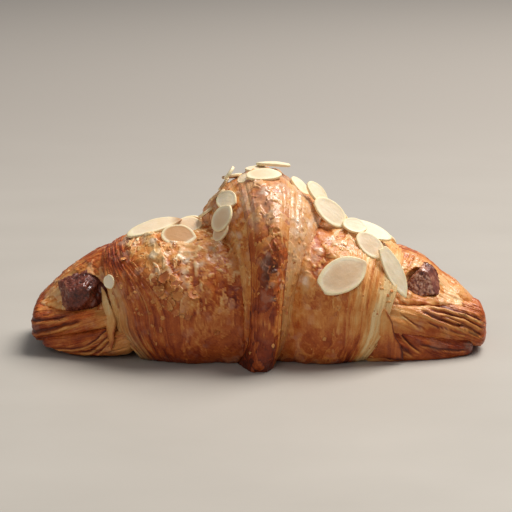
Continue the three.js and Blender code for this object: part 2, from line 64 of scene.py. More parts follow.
def waves(place, size, seed):
    """Smooth random waves about one size long, from -1 to 1: a random slope at each corner of a
    cubic lattice, blended between the eight corners round each place."""
    spot = place / size
    cell = np.floor(spot).astype(np.int64)
    part = spot - cell
    ease = part ** 3 * (part * (part * 6 - 15) + 10)
    total = np.zeros(spot.shape[:-1])
    for corner in itertools.product((0, 1), repeat=3):
        slope = SLOPES[scatter_index(cell + corner, seed)]
        weight = np.prod(np.where(np.equal(corner, 1), ease, 1 - ease), axis=-1)
        total += weight * ((part - corner) * slope).sum(-1)
    return np.clip(total * 1.7, -1, 1)


def rough(place, size, seed, octaves=4):
    """Waves with ever smaller waves on them: each octave half as long and half as high."""
    total = sum(waves(place, size / 2 ** k, seed + k) / 2 ** k for k in range(octaves))
    return total / (2 - 2 / 2 ** octaves)


def shifts(place, size, seed):
    """Waves along each of the three axes, by which other waves are bent."""
    return np.stack([waves(place, size, seed + k) for k in range(3)], -1)


def smooth(value, low, high):
    """An S-shaped step from 0 at low to 1 at high."""
    t = np.clip((value - low) / (high - low), 0, 1)
    return t * t * (3 - 2 * t)


def mix(a, b, share):
    """Share 0 gives a, share 1 gives b, and what lies between is in proportion."""
    return a + (b - a) * share


def points_at(x, y, z):
    """Points with these coordinates, each of them given for all, by row, by ring or point by point."""
    return np.stack(np.broadcast_arrays(x, y, z), -1)


def along(*knots):
    """A smooth curve through knots (position, value): cubic pieces whose slope at a knot is that
    between its neighbours, flat beyond the ends."""
    at_knots, values = np.array(knots, float).T
    last = len(at_knots) - 1
    before = np.maximum(np.arange(last + 1) - 1, 0)
    after = np.minimum(np.arange(last + 1) + 1, last)
    slopes = (values[after] - values[before]) / (at_knots[after] - at_knots[before])

    def curve(position):
        at = np.clip(position, at_knots[0], at_knots[last])
        i = np.clip(np.searchsorted(at_knots, at, side="right") - 1, 0, last - 1)
        span = at_knots[i + 1] - at_knots[i]
        t = (at - at_knots[i]) / span
        leaving = (2 * t ** 3 - 3 * t ** 2 + 1) * values[i] + (t ** 3 - 2 * t ** 2 + t) * span * slopes[i]
        arriving = (3 * t ** 2 - 2 * t ** 3) * values[i + 1] + (t ** 3 - t ** 2) * span * slopes[i + 1]
        return leaving + arriving
    return curve


def bent_path(knots, shares):
    """Points at the given shares of the length of a smooth curve through the knots."""
    knots = np.array(knots, float)
    steps = np.linspace(0, len(knots) - 1, 400)
    dense = np.stack([along(*zip(range(len(knots)), knots[:, k]))(steps) for k in range(3)], 1)
    length = np.concatenate([[0], np.cumsum(np.linalg.norm(np.diff(dense, axis=0), axis=1))])
    return np.stack([np.interp(shares * length[-1], length, dense[:, k]) for k in range(3)], 1)


def turns(count):
    """Directions round a ring from straight down, closer together on the upper side."""
    share = np.arange(count) / count
    return 2 * np.pi * (share + 0.05 * np.sin(2 * np.pi * share)) - np.pi / 2


def outward(points):
    """The direction out of a ringed surface at each point, square to its rows and rings."""
    round_it = np.roll(points, -1, 1) - np.roll(points, 1, 1)
    normal = np.cross(round_it, np.gradient(points, axis=0))
    normal /= np.linalg.norm(normal, axis=-1, keepdims=True) + 1e-9
    from_middle = points - points.mean(1, keepdims=True)
    return normal * np.sign((normal * from_middle).sum())


def raised(points, height):
    """The surface with each point moved out by its height."""
    return points + outward(points) * height[..., None]


def ringed_piece(name, points, marks, rows_along=False):
    """A closed mesh over rings of points (rows, ring, xyz) in millimetres, or many such (each, rows,
    ring, xyz), with a point in the middle of each first and last ring. marks are arrays kept as
    attributes of its points. Its UV map is the distance across the fibres of the dough and along
    them, in millimetres; rows_along says that they run from ring to ring."""
    points = points.reshape(-1, *points.shape[-3:])
    each, rows, count = points.shape[:3]
    poles = np.stack([points[:, 0].mean(1), points[:, -1].mean(1)], 1)
    places = np.concatenate([points.reshape(each, -1, 3), poles], 1) * MM
    row, k = np.meshgrid(np.arange(rows - 1), np.arange(count), indexing="ij")
    a, b = row * count + k, row * count + (k + 1) % count
    quads = np.stack([a, b, b + count, a + count], -1).reshape(-1, 4)
    ring, beyond = np.arange(count), (np.arange(count) + 1) % count
    last = (rows - 1) * count
    start_fan = np.stack([beyond, ring, np.full(count, rows * count)], 1)
    end_fan = np.stack([last + ring, last + beyond, np.full(count, rows * count + 1)], 1)
    fans = np.concatenate([start_fan, end_fan])
    corners = places[:, quads]
    face_out = np.cross(corners[:, :, 2] - corners[:, :, 0], corners[:, :, 3] - corners[:, :, 1])
    middle = np.repeat(points.mean(2)[:, :-1] * MM, count, axis=1)
    if (face_out * (corners.mean(2) - middle)).sum() < 0:
        quads, fans = quads[:, ::-1], fans[:, ::-1]
    first = np.arange(each)[:, None, None] * places.shape[1]
    quads, fans = (quads + first).reshape(-1, 4), (fans + first).reshape(-1, 3)
    places = places.reshape(-1, 3)
    corner_list = np.concatenate([quads.ravel(), fans.ravel()])
    starts = np.concatenate([np.arange(len(quads)) * 4, len(quads) * 4 + np.arange(len(fans)) * 3])
    mesh = bpy.data.meshes.new(name)
    mesh.vertices.add(len(places))
    mesh.vertices.foreach_set("co", places.ravel())
    mesh.loops.add(len(corner_list))
    mesh.loops.foreach_set("vertex_index", corner_list.astype(np.int32))
    mesh.polygons.add(len(starts))
    mesh.polygons.foreach_set("loop_start", starts.astype(np.int32))
    mesh.update(calc_edges=True)
    from_ring = np.linalg.norm(np.diff(points[0], axis=0, prepend=points[0, :1]), axis=-1)
    from_ring = from_ring.mean(1).cumsum()
    round_it = np.linalg.norm(np.diff(points[0], axis=1, prepend=points[0, :, :1]), axis=-1)
    round_it = round_it.mean(0).cumsum()
    u = np.tile(np.concatenate([np.repeat(from_ring, count), from_ring[[0, -1]]]), each)
    v = np.tile(np.concatenate([np.tile(round_it, rows), [0, 0]]), each)
    distances = [v, u] if rows_along else [u, v]
    grain = mesh.uv_layers.new(name="grain")
    corner_uv = np.stack(distances, 1)[corner_list]
    grain.data.foreach_set("uv", corner_uv.astype(np.float32).ravel())
    for mark, values in marks.items():
        values = np.broadcast_to(values, (each, rows, count))
        ends = np.stack([values[:, 0].mean(1), values[:, -1].mean(1)], 1)
        values = np.concatenate([values.reshape(each, -1), ends], 1)
        held = mesh.attributes.new(mark, "FLOAT", "POINT")
        held.data.foreach_set("value", values.ravel().astype(np.float32))
    mesh.shade_smooth()
    piece = bpy.data.objects.new(name, mesh)
    bpy.context.collection.objects.link(piece)
    return piece


def fit(piece, slot, *nodes):
    """The piece stands for its solid and moves with the croissant; slot is not used."""
    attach(piece, "root")
    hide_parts(*nodes)


def colour(code):
    """A screen colour such as "a8642f" as the linear colour that shaders take."""
    parts = [int(code[i:i + 2], 16) / 255 for i in (0, 2, 4)]
    return (*[p / 12.92 if p <= 0.04045 else ((p + 0.055) / 1.055) ** 2.4 for p in parts], 1.0)


class Shading:
    """Adds nodes to a material or a node group and links them by name."""

    def __init__(self, tree):
        self.tree = tree

    def add(self, kind, settings=None, /, **inputs):
        """One node: settings are its own values, inputs are numbers, colours or other sockets."""
        node = self.tree.nodes.new("ShaderNode" + kind)
        for key, value in (settings or {}).items():
            setattr(node, key, value)
        self.feed(node, **inputs)
        return node

    def feed(self, node, **inputs):
        """Gives a node its inputs, by name or, as _0 and so on, by number."""
        for key, value in inputs.items():
            socket = node.inputs[int(key[1:]) if key[0] == "_" else key.replace("_", " ")]
            if isinstance(value, bpy.types.NodeSocket):
                self.tree.links.new(value, socket)
            else:
                socket.default_value = value

    def bump(self, strength, distance, height):
        """A normal tilted by the slope of height, a socket, at the given distance in metres."""
        return self.add("Bump", Strength=strength, Distance=distance, Height=height).outputs[0]

    def maths(self, operation, a, b=0.0, clamp=False):
        """The named operation on a and b, kept between 0 and 1 with clamp."""
        return self.add("Math", {"operation": operation, "use_clamp": clamp}, _0=a, _1=b).outputs[0]

    def weighted(self, start, *terms):
        """start plus each term, a (socket or number, weight) pair, times its weight."""
        total = start
        for value, weight in terms:
            node = self.add("Math", {"operation": "MULTIPLY_ADD"}, _0=value, _1=weight, _2=total)
            total = node.outputs[0]
        return total

    def blend(self, share, a, b, how="MIX"):
        """Colour a with colour b mixed in by share."""
        node = self.add("Mix", {"data_type": "RGBA", "blend_type": how}, _0=share, _6=a, _7=b)
        return node.outputs[2]

    def mark(self, name):
        """A mark that the mesh carries on its points."""
        return self.add("Attribute", {"attribute_type": "GEOMETRY", "attribute_name": name}).outputs["Fac"]

    def speckle(self, place, size, detail=3.0, stretch=(1, 1, 1)):
        """Noise from 0 to 1 with spots about one size across, drawn out along each axis by stretch."""
        scale = tuple(1 / (size * s) for s in stretch)
        spot = self.add("Mapping", Vector=place, Scale=scale).outputs[0]
        return self.add("TexNoise", Vector=spot, Scale=1.0, Detail=detail).outputs[0]

    def ramp(self, value, stops):
        """The colour at a value from 0 to 1, blended between the stops (position, colour code)."""
        node = self.add("ValToRGB", Fac=value)
        while len(node.color_ramp.elements) < len(stops):
            node.color_ramp.elements.new(0.5)
        for element, (position, code) in zip(node.color_ramp.elements, stops):
            element.position = position
            element.color = colour(code)
        return node.outputs[0]


def new_material(name):
    """A material with one surface shader, and the Shading that adds nodes to it."""
    material = bpy.data.materials.new(name)
    material.use_nodes = True
    shading = Shading(material.node_tree)
    shading.shader = material.node_tree.nodes["Principled BSDF"]
    return material, shading


def ridged(place, size, seed, octaves=3):
    """Waves folded into sharp crests: from -1 in the hollows to 1 on the crests."""
    return 1 - 2.6 * abs(rough(place, size, seed, octaves))


def filling_surface():
    """The bar: rings square to X round a path through the roll, wider at both ends. There waves and
    crests raise it, and broken faces, each a plane (normal, distance), cut it off."""
    share = [np.linspace(0, 0.2, 120), np.linspace(0.24, 0.78, 12), np.linspace(0.8, 1, 130)]
    share = np.concatenate(share)
    path = bent_path([(-70, -7, 19.5), (-62, -9, 20), (-45, -1, 21), (0, 0, 22), (42, -2, 23),
                      (56, -8, 23.5), (65.5, -8, 21.5)], share)
    radius = along((0, 3.6), (0.04, 6.8), (0.13, 7.2), (0.25, 5.5), (0.75, 5.5), (0.88, 8.2),
                   (0.95, 7.8), (1, 1.6))
    angle = turns(150)[None, :]
    way = share[:, None]
    bare = smooth(abs(way - 0.5), 0.3, 0.4)
    swell = 0.45 * np.sin(4 * angle + 90 * way) + 0.35 * np.sin(7 * angle - 140 * way)
    reach = radius(way) + swell * bare
    x, y, z = path[:, :1], path[:, 1:2], path[:, 2:3]
    points = points_at(x, y - np.cos(angle) * reach, z + np.sin(angle) * reach)
    points = raised(points, 0.9 * bare * rough(points, 6, 5))
    left_faces, dry_faces, glossy_faces = range(5), (5, 7), (6, 7)
    broken = [((-0.86, -0.5, 0.1), 65.6), ((-0.3, -0.4, 0.87), 45.0), ((0.25, -0.55, 0.8), 12.2),
              ((0.05, -1, 0.12), 14.4), ((0, -0.7, -0.7), -1.4), ((0.776, -0.407, 0.482), 63.4),
              ((-0.098, -0.923, 0.372), 15), ((-0.709, 0.113, 0.696), -20.6), ((0.2, -0.3, 0.93), 41.6),
              ((0.1, -0.5, -0.86), -5.8)]
    flat, glossy = np.zeros((2, *reach.shape))
    for k, (normal, distance) in enumerate(broken):
        normal = np.array(normal) / np.linalg.norm(normal)
        end = points[..., 0] * (-1 if k in left_faces else 1) > 0
        wall = distance + 0.25 * rough(points, 4, 40 + k)
        over = np.maximum(0, points @ normal - wall) * end
        points = points - 0.94 * over[..., None] * normal
        flat = np.maximum(flat, smooth(over, 0, 0.5) * (k in dry_faces))
        glossy = np.maximum(glossy, smooth(over, 0, 0.5) * (k in glossy_faces))
    crests = ridged(points, 2.6, 3)
    crumbs = ridged(points, 1.1, 4)
    height = 0.34 * crests + 0.2 * crumbs + 0.1 * rough(points, 0.5, 6, 3)
    pit = smooth(rough(points, 1.7, 8), 0.3, 0.6)
    height = (height - 0.5 * pit) * (1 - 0.7 * flat)
    side = smooth(-points[..., 0], 64, 67) + flat
    wet = smooth(rough(points, 3, 9), -0.1, 0.3)
    # Glints on the glossy faces: painted highlights that lighten their colour.
    painted_glints = glossy * smooth(rough(points, 0.9, 10), -0.35, 0.4)
    # Lighter on the dry broken faces, with painted highlights on the crests and glints; the hollows are
    # darkened as painted shade.
    marks = {"dry_and_painted_highlight": 0.5 * smooth(height, 0.1, 0.7) + 0.5 * side + 1.8 * painted_glints,
             "deep": smooth(-height, 0.1, 0.6), "wet": np.maximum(wet, glossy)}
    return raised(points, height * bare), marks


filling = ringed_piece("filling_bar", *filling_surface())
fit(filling, "filling", "filling")
material, shading = new_material("Dark chocolate filling")
place = shading.add("TexCoord").outputs["Object"]
grit = shading.speckle(place, 0.0006, 4)
smears = shading.speckle(place, 0.0025, 3)
# The tone: painted highlights and dry faces lighten it, and painted shade in the hollows darkens it.
tone = shading.weighted(0.01, (grit, 0.45), (smears, 0.5), (shading.mark("dry_and_painted_highlight"), 0.26),
                        (shading.mark("deep"), -0.26))
chocolate = [(0.22, "220f0a"), (0.42, "481d12"), (0.6, "773624"), (0.8, "a3694b"), (1, "d3a288")]
shading.feed(
    shading.shader, Base_Color=shading.ramp(tone, chocolate),
    Roughness=shading.weighted(0.42, (smears, 0.3), (shading.mark("wet"), -0.3)),
    Coat_Weight=shading.weighted(0.0, (shading.mark("wet"), 0.35)), Coat_Roughness=0.15,
    Normal=shading.bump(strength=0.6, distance=0.0002, height=grit))
filling.data.materials.append(material)


# ---- The two ends --------------------------------------------------------------------------------
# The narrow ends of the rolled triangle. At each, the outer sheet of dough runs over the back and
# gapes at the front, where the filling shows; under the gap lies a block of dough with its cut,
# flaky layers, and under that a fold that the roll rests on. Golden, darkest on the edges.

def under_table(points, level):
    """The surface with what would go below the given level laid flat on it."""
    points[..., 2] = np.maximum(points[..., 2], level)
    return points


# How high the waist of a wrap lies, as a share of its height.
WAIST = 0.42


def section(wrap, x, angle, lift):
    """Points on a wrap: a rounded top over a squarer foot, two halves of a power curve that meet at
    the waist. angle 0 is the front and a quarter turn the top; lift moves them out."""
    height = wrap["height"](x)
    waist = WAIST * height
    cosine, sine = np.cos(angle), np.sin(angle)
    power = np.where(sine >= 0, 2.15, 4.0)
    rise = np.where(sine >= 0, height - waist, waist + 0.07 * height) + lift
    out = wrap["depth"](x) + lift
    y = wrap["axis"](x) - np.sign(cosine) * abs(cosine) ** (2 / power) * out
    z = waist + np.sign(sine) * abs(sine) ** (2 / power) * rise
    return points_at(x, y, z)


def leaves(place, run, seed):
    """Thin baked leaves of dough lying over one another like shingles. place counts them from the
    outermost and run is the distance along their edges: each begins with a sharp lip that stands up,
    sinks or breaks off by chance, and falls back slowly. Gives its height, and that chance, both
    from 0 to 1."""
    drift = place + 0.5 * waves(points_at(place * 0.3, run / 14, 0), 1, seed)
    drift += 0.16 * waves(points_at(place, run / 1.7, 0), 1, seed + 1)
    leaf = np.floor(drift)
    within = drift - leaf
    chance = np.clip(0.5 + 0.7 * waves(points_at(leaf * 5.37, run / 7, 0.5), 1, seed + 2), 0, 1)
    return smooth(within, 0, 0.16) * (1 - 0.8 * within) * (0.3 + 0.7 * chance), chance


def streaks(across, run, seed, width=1.5, length=15.0):
    """Bands of dough drawn out along the leaves, from -1 to 1: waves of about the given width and
    length, with finer and shorter ones on them that part and run together."""
    total = 0
    for k, share in enumerate((0.5, 0.3, 0.2)):
        spot = points_at(across / (width / 1.9 ** k), run / (length / 1.4 ** k), 7.3 * k)
        total = total + share * waves(spot, 1, seed + k)
    return np.clip(1.5 * total, -1, 1)


def peeled(points, size, seed):
    """Skin that has come off in thin sheets: islands where waves, bent by other waves, pass a level.
    Gives how far a point lies on a sheet that is left, on its torn edge, which is painted pale as a
    highlight, and in the shadow beyond that edge, which is painted darker."""
    field = rough(points + 0.5 * size * shifts(points, 0.6 * size, seed), size, seed + 5, 3)
    return (smooth(field, 0.02, 0.07), np.exp(-((field - 0.09) / 0.035) ** 2),
            np.exp(-((field + 0.01) / 0.025) ** 2))


def near_to(points, middle, radii):
    """1 at the middle, fading to 0 beyond the radii."""
    return np.exp(-(((points - middle) / radii) ** 2).sum(-1))


def pressed(points, middle, radii, way):
    """Pushes what lies inside an uneven ellipsoid along one axis, way (axis, sign), to its wall, and
    gives which points those are."""
    axis, sign = way
    part = (points - middle) / radii
    ragged = 1 + 0.16 * rough(points * (1, 0, 1), 6, 91)
    others = 1 - (np.delete(part, axis, -1) ** 2).sum(-1) * ragged ** 2
    wall = np.sqrt(np.clip(others, 0, 1))
    inside = (others > 0) & (part[..., axis] * sign < wall)
    points[..., axis] = np.where(inside, sign * wall * radii[axis] + middle[axis], points[..., axis])
    return inside


def split(points, line, width):
    """A split in the dough along a line of (x, z) knots on the front: a narrow groove with a lip that
    catches the light below it. Gives its height, its dark and its lit part."""
    x, y, z = np.moveaxis(points, -1, 0)
    ends = line[0][0], line[-1][0]
    off = z - along(*line)(x) + 0.7 * rough(points * (1, 0, 0.05), 7, 71, 5)
    here = smooth(x, ends[0] - 0.5, ends[0] + 2) * smooth(x, ends[1] + 0.5, ends[1] - 2) * (y < -5)
    dark = np.exp(-(off / width) ** 2) * here
    lit = np.exp(-((off + 1.9 * width) / (1.1 * width)) ** 2) * here
    return (0.75 * lit - 1.3 * dark) * width, dark, lit


# The hollow round each lump of filling, left (-1) and right (1): its middle and its radii.
HOLLOWS = {-1: ((-61.5, -14, 22), (9.2, 10.5, 6.2)), 1: ((58.4, -15, 26.4), (8.2, 9, 5.8))}


def end_sheet(hand, tip, inner, lean, heights, depths, axis, hem, tone, seed):
    """The outer sheet of an end: sections from the blunt tip inwards, opened where the filling comes
    out, with its leaves bared round the opening, and a ragged hem that overhangs the block."""
    share = (np.linspace(0, 1, 150) ** 1.35)[:, None]
    angle = turns(330)[None, :]
    shape = {"height": along(*heights), "depth": along(*depths), "axis": along(*axis)}
    rounding = -3 * (1 - np.minimum(share / 0.06, 1)) ** 2
    x = mix(tip, inner, share) + lean * np.maximum(0, -np.sin(angle)) * (1 - share)
    points = section(shape, x, angle, rounding)
    run = 40 * share
    middle, radii = HOLLOWS[hand]
    from_hollow = np.sqrt((((points - middle) / radii) ** 2)[..., [0, 2]].sum(-1))
    front = smooth(points[..., 1], 2, -5)
    ringed = smooth(from_hollow, 1.9, 1.1) * front * smooth(points[..., 2], middle[2] - 3, middle[2] + 2)
    round_hollow = np.arctan2(points[..., 2] - middle[2], points[..., 0] - middle[0])
    shells = streaks(5 * from_hollow, 12 * round_hollow, seed + 70, 0.7, 9)
    sheet, torn, shadow = peeled(points, 8, seed + 20)
    wrinkles = ridged(points * (0.5, 1, 0.8), 3.4, seed + 30)
    bands = streaks(angle * 17, run, seed + 60, 1.2, 16)
    hem_off = points[..., 2] - along(*hem)(points[..., 0])
    hem_off += 0.9 * rough(points * (1, 0, 0.05), 5, seed + 80, 5)
    lip = np.exp(-((hem_off - 0.9) / 1.1) ** 2) * front
    under = smooth(hem_off, 0.15, -0.15) * front
    relief = 0.2 * sheet + 0.26 * wrinkles + 0.2 * bands + 0.5 * ringed * shells + 0.8 * lip - 1.6 * under
    points = raised(points, relief + 0.5 * front * rough(points, 8, seed + 90))
    gape = pressed(points, middle, radii, (1, 1))
    points[..., 1] += 0.8 * ridged(points, 2.5, seed + 40) * gape
    # Painted light: the torn edges of the peeled skin are made paler as highlights, and the ground beyond
    # them darker as shadow.
    tan = 0.2 * rough(points, 12, seed + 50) - 0.08 * sheet - 0.12 * torn + 0.12 * shadow + 0.16 * bands
    tan += tone(points) - 0.05 * wrinkles + 0.3 * smooth(share, 0.16, 0) + 0.14 * ringed * shells
    # Painted shade under the overhanging hem, darkest in a line along its edge.
    tan += 0.2 * smooth(points[..., 1], 0, 8) + 0.5 * under + 0.25 * np.exp(-(hem_off / 0.4) ** 2) * front
    marks = {
        "tan": tan + 0.05 * gape, "raw": np.clip(0.1 * gape + ringed * (0.05 - 0.3 * shells), 0, 1),
        # The burnt colour under the hem is painted shade as well.
        "burnt": np.clip(0.5 * under + 0.3 * smooth(share, 0.03, 0), 0, 1),
        "glaze": 0.3 + 0.3 * sheet, "fibre": 0.7}
    return under_table(points, 0.04), marks


crust_pieces = [
    ringed_piece("left_end_sheet", *end_sheet(
        -1, tip=-80, inner=-40, lean=4, seed=101,
        heights=[(-80, 13.5), (-75.5, 18), (-69.5, 24), (-65, 27.5), (-59.7, 31), (-54, 33.8), (-40, 35)],
        depths=[(-80, 11), (-70, 15), (-60, 18.5), (-40, 21)], axis=[(-80, 4), (-40, 3)],
        hem=[(-80, 13.2), (-74.7, 14.4), (-68, 14.8), (-64.6, 15.6), (-53, 16.5)],
        tone=lambda p: (0.5 - 0.24 * near_to(p, (-72, -12, 18), (8, 12, 6))
                        + 0.14 * smooth(p[..., 2], 27, 34)))),
    ringed_piece("right_end_sheet", *end_sheet(
        1, tip=80, inner=38, lean=-3, seed=151,
        heights=[(38, 34), (50, 33.5), (55, 31.7), (60, 28.8), (66, 23.5), (70.6, 20.5), (75.9, 15),
                 (80, 10)],
        depths=[(38, 22), (52, 21), (66, 18), (80, 12)], axis=[(38, 3), (80, 3)],
        hem=[(44, 19), (58, 18), (70, 15), (80, 9)],
        tone=lambda p: 0.36 + 0.1 * smooth(p[..., 2], 27, 34) + 0.04 * smooth(p[..., 0], 66, 76))),
]


def fold(start, middle, end, high, deep, turn, browned, cracked, splits, seed, layers=9, above=0.02):
    """A fold of dough along a bent path, from its free tip to where it goes under the shoulder: a
    squarish ring with faint grooves of its layers, which wind round it by turn from start to end,
    pits where it is cracked, and the splits on its front. above is how far its tip clears the table."""
    share = [np.linspace(0, 0.12, 26), np.linspace(0.13, 0.9, 96), np.linspace(0.91, 1, 16)]
    share = np.concatenate(share)[:, None]
    angle = turns(230)[None, :] + turn * share
    start, middle, end = np.array(start), np.array(middle), np.array(end)
    path = (1 - share) ** 2 * start + 2 * share * (1 - share) * middle + share ** 2 * end
    from_end = np.minimum(np.minimum(share, 1 - share), 0.1) / 0.1
    taper = mix(0.4, 1, np.sqrt(1 - (1 - from_end) ** 2))
    wander = 0.5 * waves(points_at(4 * share, np.cos(angle) * 2, np.sin(angle) * 2), 1, seed)
    place = layers * (angle - turn * share) + wander
    from_tip = smooth(share, 0, 0.07)
    groove = 1 - 0.035 * np.maximum(0, np.cos(place)) ** 0.8 * from_tip
    out = mix(deep[0], deep[1], share) / 2 * taper * groove
    rise = mix(high[0], high[1], share) / 2 * taper * groove
    cosine, sine = np.cos(angle), np.sin(angle)
    points = points_at(path[:, :1], path[:, 1:2] - np.sign(cosine) * abs(cosine) ** 0.75 * out,
                       path[:, 2:3] + np.sign(sine) * abs(sine) ** 0.75 * rise)
    run = np.linalg.norm(end - start) * share
    pile = leaves(place / 2.2, run, seed + 1)[0]
    gaps = cracked(share) * smooth(rough(points_at(place * 1.1, run / 5, 0), 1, seed + 2), 0.1, 0.5)
    grain = rough(points * (0.4, 1, 1), 1.5, seed + 3)
    bands = streaks(place * 1.6, run, seed + 6, 0.9, 14) * from_tip
    relief = 0.2 * pile * (0.2 + 0.8 * cracked(share)) - 0.6 * gaps + 0.18 * grain
    relief += bands * (0.2 + 0.2 * cracked(share)) + 0.2 * rough(points, 9, seed + 7, 2)
    relief += 0.12 * ridged(points * (0.5, 1, 1), 1.2, seed + 8)
    shade = glow = 0
    for line, width in splits:
        height, dark, lit = split(points, line, width)
        relief, shade, glow = relief + height, np.maximum(shade, dark), np.maximum(glow, lit)
    points = raised(points, relief)
    for hollow, radii in HOLLOWS.values():
        pressed(points, hollow, radii, (2, -1))
    # Painted shade darkens the pits and the grooves of the splits, and painted light lightens the lips
    # below the splits; the burnt and raw marks carry the same.
    tan = browned + 0.06 * pile + 0.18 * bands + 0.2 * rough(points, 9, seed + 4)
    tan += 0.12 * smooth(share, 0.2, 0) - 0.26 * smooth(share, 0.6, 1) + 0.25 * shade - 0.2 * glow
    tan -= 0.12 * smooth(points[..., 2], 13, 19)
    marks = {
        "tan": tan, "raw": 0.4 * smooth(share, 0.8, 1) + 0.1 * glow,
        "burnt": np.clip(0.6 * gaps + 0.5 * shade, 0, 1),
        "glaze": 0.2 + 0.35 * smooth(rough(points, 6, seed + 5), 0, 0.6),
        "fibre": 0.6 * smooth(share, 0, 0.06)}
    return under_table(points, mix(above, 0.02, smooth(share, 0.1, 0.5))), marks


crust_pieces += [
    ringed_piece("left_block", *fold(
        (-79.5, -2, 9), (-66, -7, 10), (-47, -13, 15), high=(13, 6), deep=(24, 20), turn=1.1, browned=0.58,
        cracked=lambda s: smooth(s, 0.62, 0.3), seed=201,
        splits=[([(-80, 11.5), (-73, 12.6), (-66, 14.2)], 0.5),
                ([(-80, 7.2), (-71.3, 9.9), (-61, 13.6)], 0.6), ([(-79, 4.4), (-70, 6.4)], 0.3)]),
        rows_along=True),
    ringed_piece("left_under-fold", *fold(
        (-76, -4, 3.5), (-62, -12, 4), (-42, -13, 8), high=(7, 13), deep=(20, 24), turn=0.9, browned=0.6,
        cracked=lambda s: smooth(s, 0.2, 0.6), seed=221, above=2.8,
        splits=[([(-72, 2.5), (-60, 5), (-51, 11.5)], 0.3), ([(-62, 2.4), (-57, 4), (-50, 11)], 0.45),
                ([(-57, 2.2), (-54, 4), (-49, 10)], 0.35)]), rows_along=True),
    ringed_piece("right_block", *fold(
        (79.5, -3, 7.5), (66, -8, 12), (38, -11, 12), high=(14, 19), deep=(23, 26), turn=1.3, browned=0.5,
        cracked=lambda s: smooth(s, 0.62, 0.3), seed=241,
        splits=[([(54.6, 18.8), (60.5, 18.3), (66, 16.8), (71, 15.2), (78, 11.8)], 0.42),
                ([(58, 17.4), (63.7, 15.8), (70, 13.8), (78, 9.2)], 0.35),
                ([(62, 15.1), (68, 13.1), (75, 9.3)], 0.25), ([(57, 13.6), (64, 10.6), (72, 7.4)], 0.25),
                ([(55.3, 17.2), (60.7, 14.8), (65.7, 12.5), (72.2, 10.4), (78, 6.7)], 0.55),
                ([(48, 17), (53, 13.2), (57, 11)], 0.35)]), rows_along=True),
    ringed_piece("right_under-fold", *fold(
        (75, -5, 2.5), (62, -12, 2.5), (34, -13, 7), high=(7, 21), deep=(22, 24), turn=1.4, browned=0.66,
        cracked=lambda s: 0.2, seed=261,
        splits=[([(46.5, 13), (50, 8), (56, 3)], 0.45), ([(45, 11), (48.5, 5.5), (53, 2.4)], 0.45),
                ([(55, 6), (64, 3.5), (72, 2.4)], 0.3)]), rows_along=True),
]


HALF_LEAF = 0.28  # half of a leaf's thickness


def leaf(corners, belly, browned, seed):
    """A thin three-cornered leaf: rings from its middle on the outer side, round its ragged edge, to
    its middle on the inner side, bellied between the corners."""
    a, b, c = (np.array(corner, float) for corner in corners)
    out = np.cross(b - a, c - a)
    out /= np.linalg.norm(out)
    t = np.linspace(0, 1, 50, endpoint=False)[:, None]
    bow = 0.035 * np.sin(np.pi * t) * (1 + 0.8 * np.sin(3 * np.pi * t))
    edge = np.concatenate([
        mix(p, q, t) + bow * np.cross(q - p, out) for p, q in ((a, b), (b, c), (c, a))])
    middle = (a + b + c) / 3
    outer_rows, inner_rows = 34, 12
    reach = [np.linspace(0.03, 1, outer_rows), [1.01, 1.005, 1], np.linspace(0.97, 0.03, inner_rows)]
    reach = np.concatenate(reach)
    side = np.concatenate([np.full(outer_rows, 1), [0.5, 0, -0.5], np.full(inner_rows, -1)])
    ragged = 1 + 0.05 * rough(edge, 2.2, seed) - 0.03 * abs(waves(edge, 0.9, seed + 1))
    points = middle + (edge - middle) * (reach[:, None] * ragged)[..., None]
    crown = belly * (1 - reach[:, None] ** 2) + 0.5 * rough(points, 6, seed + 2)
    points = points + out * (crown + HALF_LEAF * side[:, None])[..., None]
    points += out * (0.12 * rough(points, 1.2, seed + 3) * (side[:, None] > 0))[..., None]
    to_right = points[..., 0] - middle[0]
    brown = smooth(reach[:, None], 0.8, 1) * smooth(to_right, -1, 2)
    rim = smooth(reach[:, None], 0.9, 0.97) * smooth(to_right, 0, 3)
    down = (b + c) / 2 - a
    across = (points - middle) @ np.cross(out, down) / np.linalg.norm(down)
    lines = streaks(across, points[..., 2], seed + 5, 1.0, 20)
    tan = browned + 0.5 * browned * brown + 0.16 * rough(points, 6, seed + 4)
    # Lighter towards its top: painted light.
    tan -= 0.025 * (points[..., 2] - middle[2])
    marks = {"tan": tan + 0.14 * lines, "raw": 0.3 * (1 - brown) * (0.7 - browned),
             "burnt": 1.2 * rim * browned, "glaze": 0.3, "fibre": 0.6}
    return points, marks


crust_pieces += [
    ringed_piece("leaf_at_the_right_foot", *leaf(
        [(42.4, -27.2, 20.5), (35, -23.5, 2.2), (49.4, -25, 1.6)], 0.9, 0.54, 301)),
    ringed_piece("flap_beside_the_filling", *leaf(
        [(63.5, -10.5, 19.6), (75.5, -5.5, 15.4), (70.2, -1.5, 21.6)], 1.0, 0.34, 311)),
    ringed_piece("leaf_at_the_left_edge", *leaf(
        [(-54.4, -13, 24), (-50.2, -25, 5), (-48.6, -24.4, 15)], 0.8, 0.26, 321)),
]


# ---- The shoulders -------------------------------------------------------------------------------
# The wraps on either side of the middle. The cut side of the laminated sheet shows along their outer
# edges as a slope of fine leaves, pale where the oven didn't reach; inwards the skin is closed,
# blistered and flaking, brushed with glaze that has dried whitish in places.

def around(**values):
    """A smooth closed curve round the roll, through its values at directions in degrees."""
    where = {"foot": -50, "front": 5, "brow": 50, "top": 90, "back": 175, "heel": 230, "under": 270}
    knots = [(where[name], value) for name, value in values.items()]
    before = [(d - 360, value) for d, value in knots[-2:]]
    after = [(d + 360, value) for d, value in knots[:2]]
    curve = along(*before, *knots, *after)
    return lambda angle: curve((np.degrees(angle) + 90) % 360 - 90)


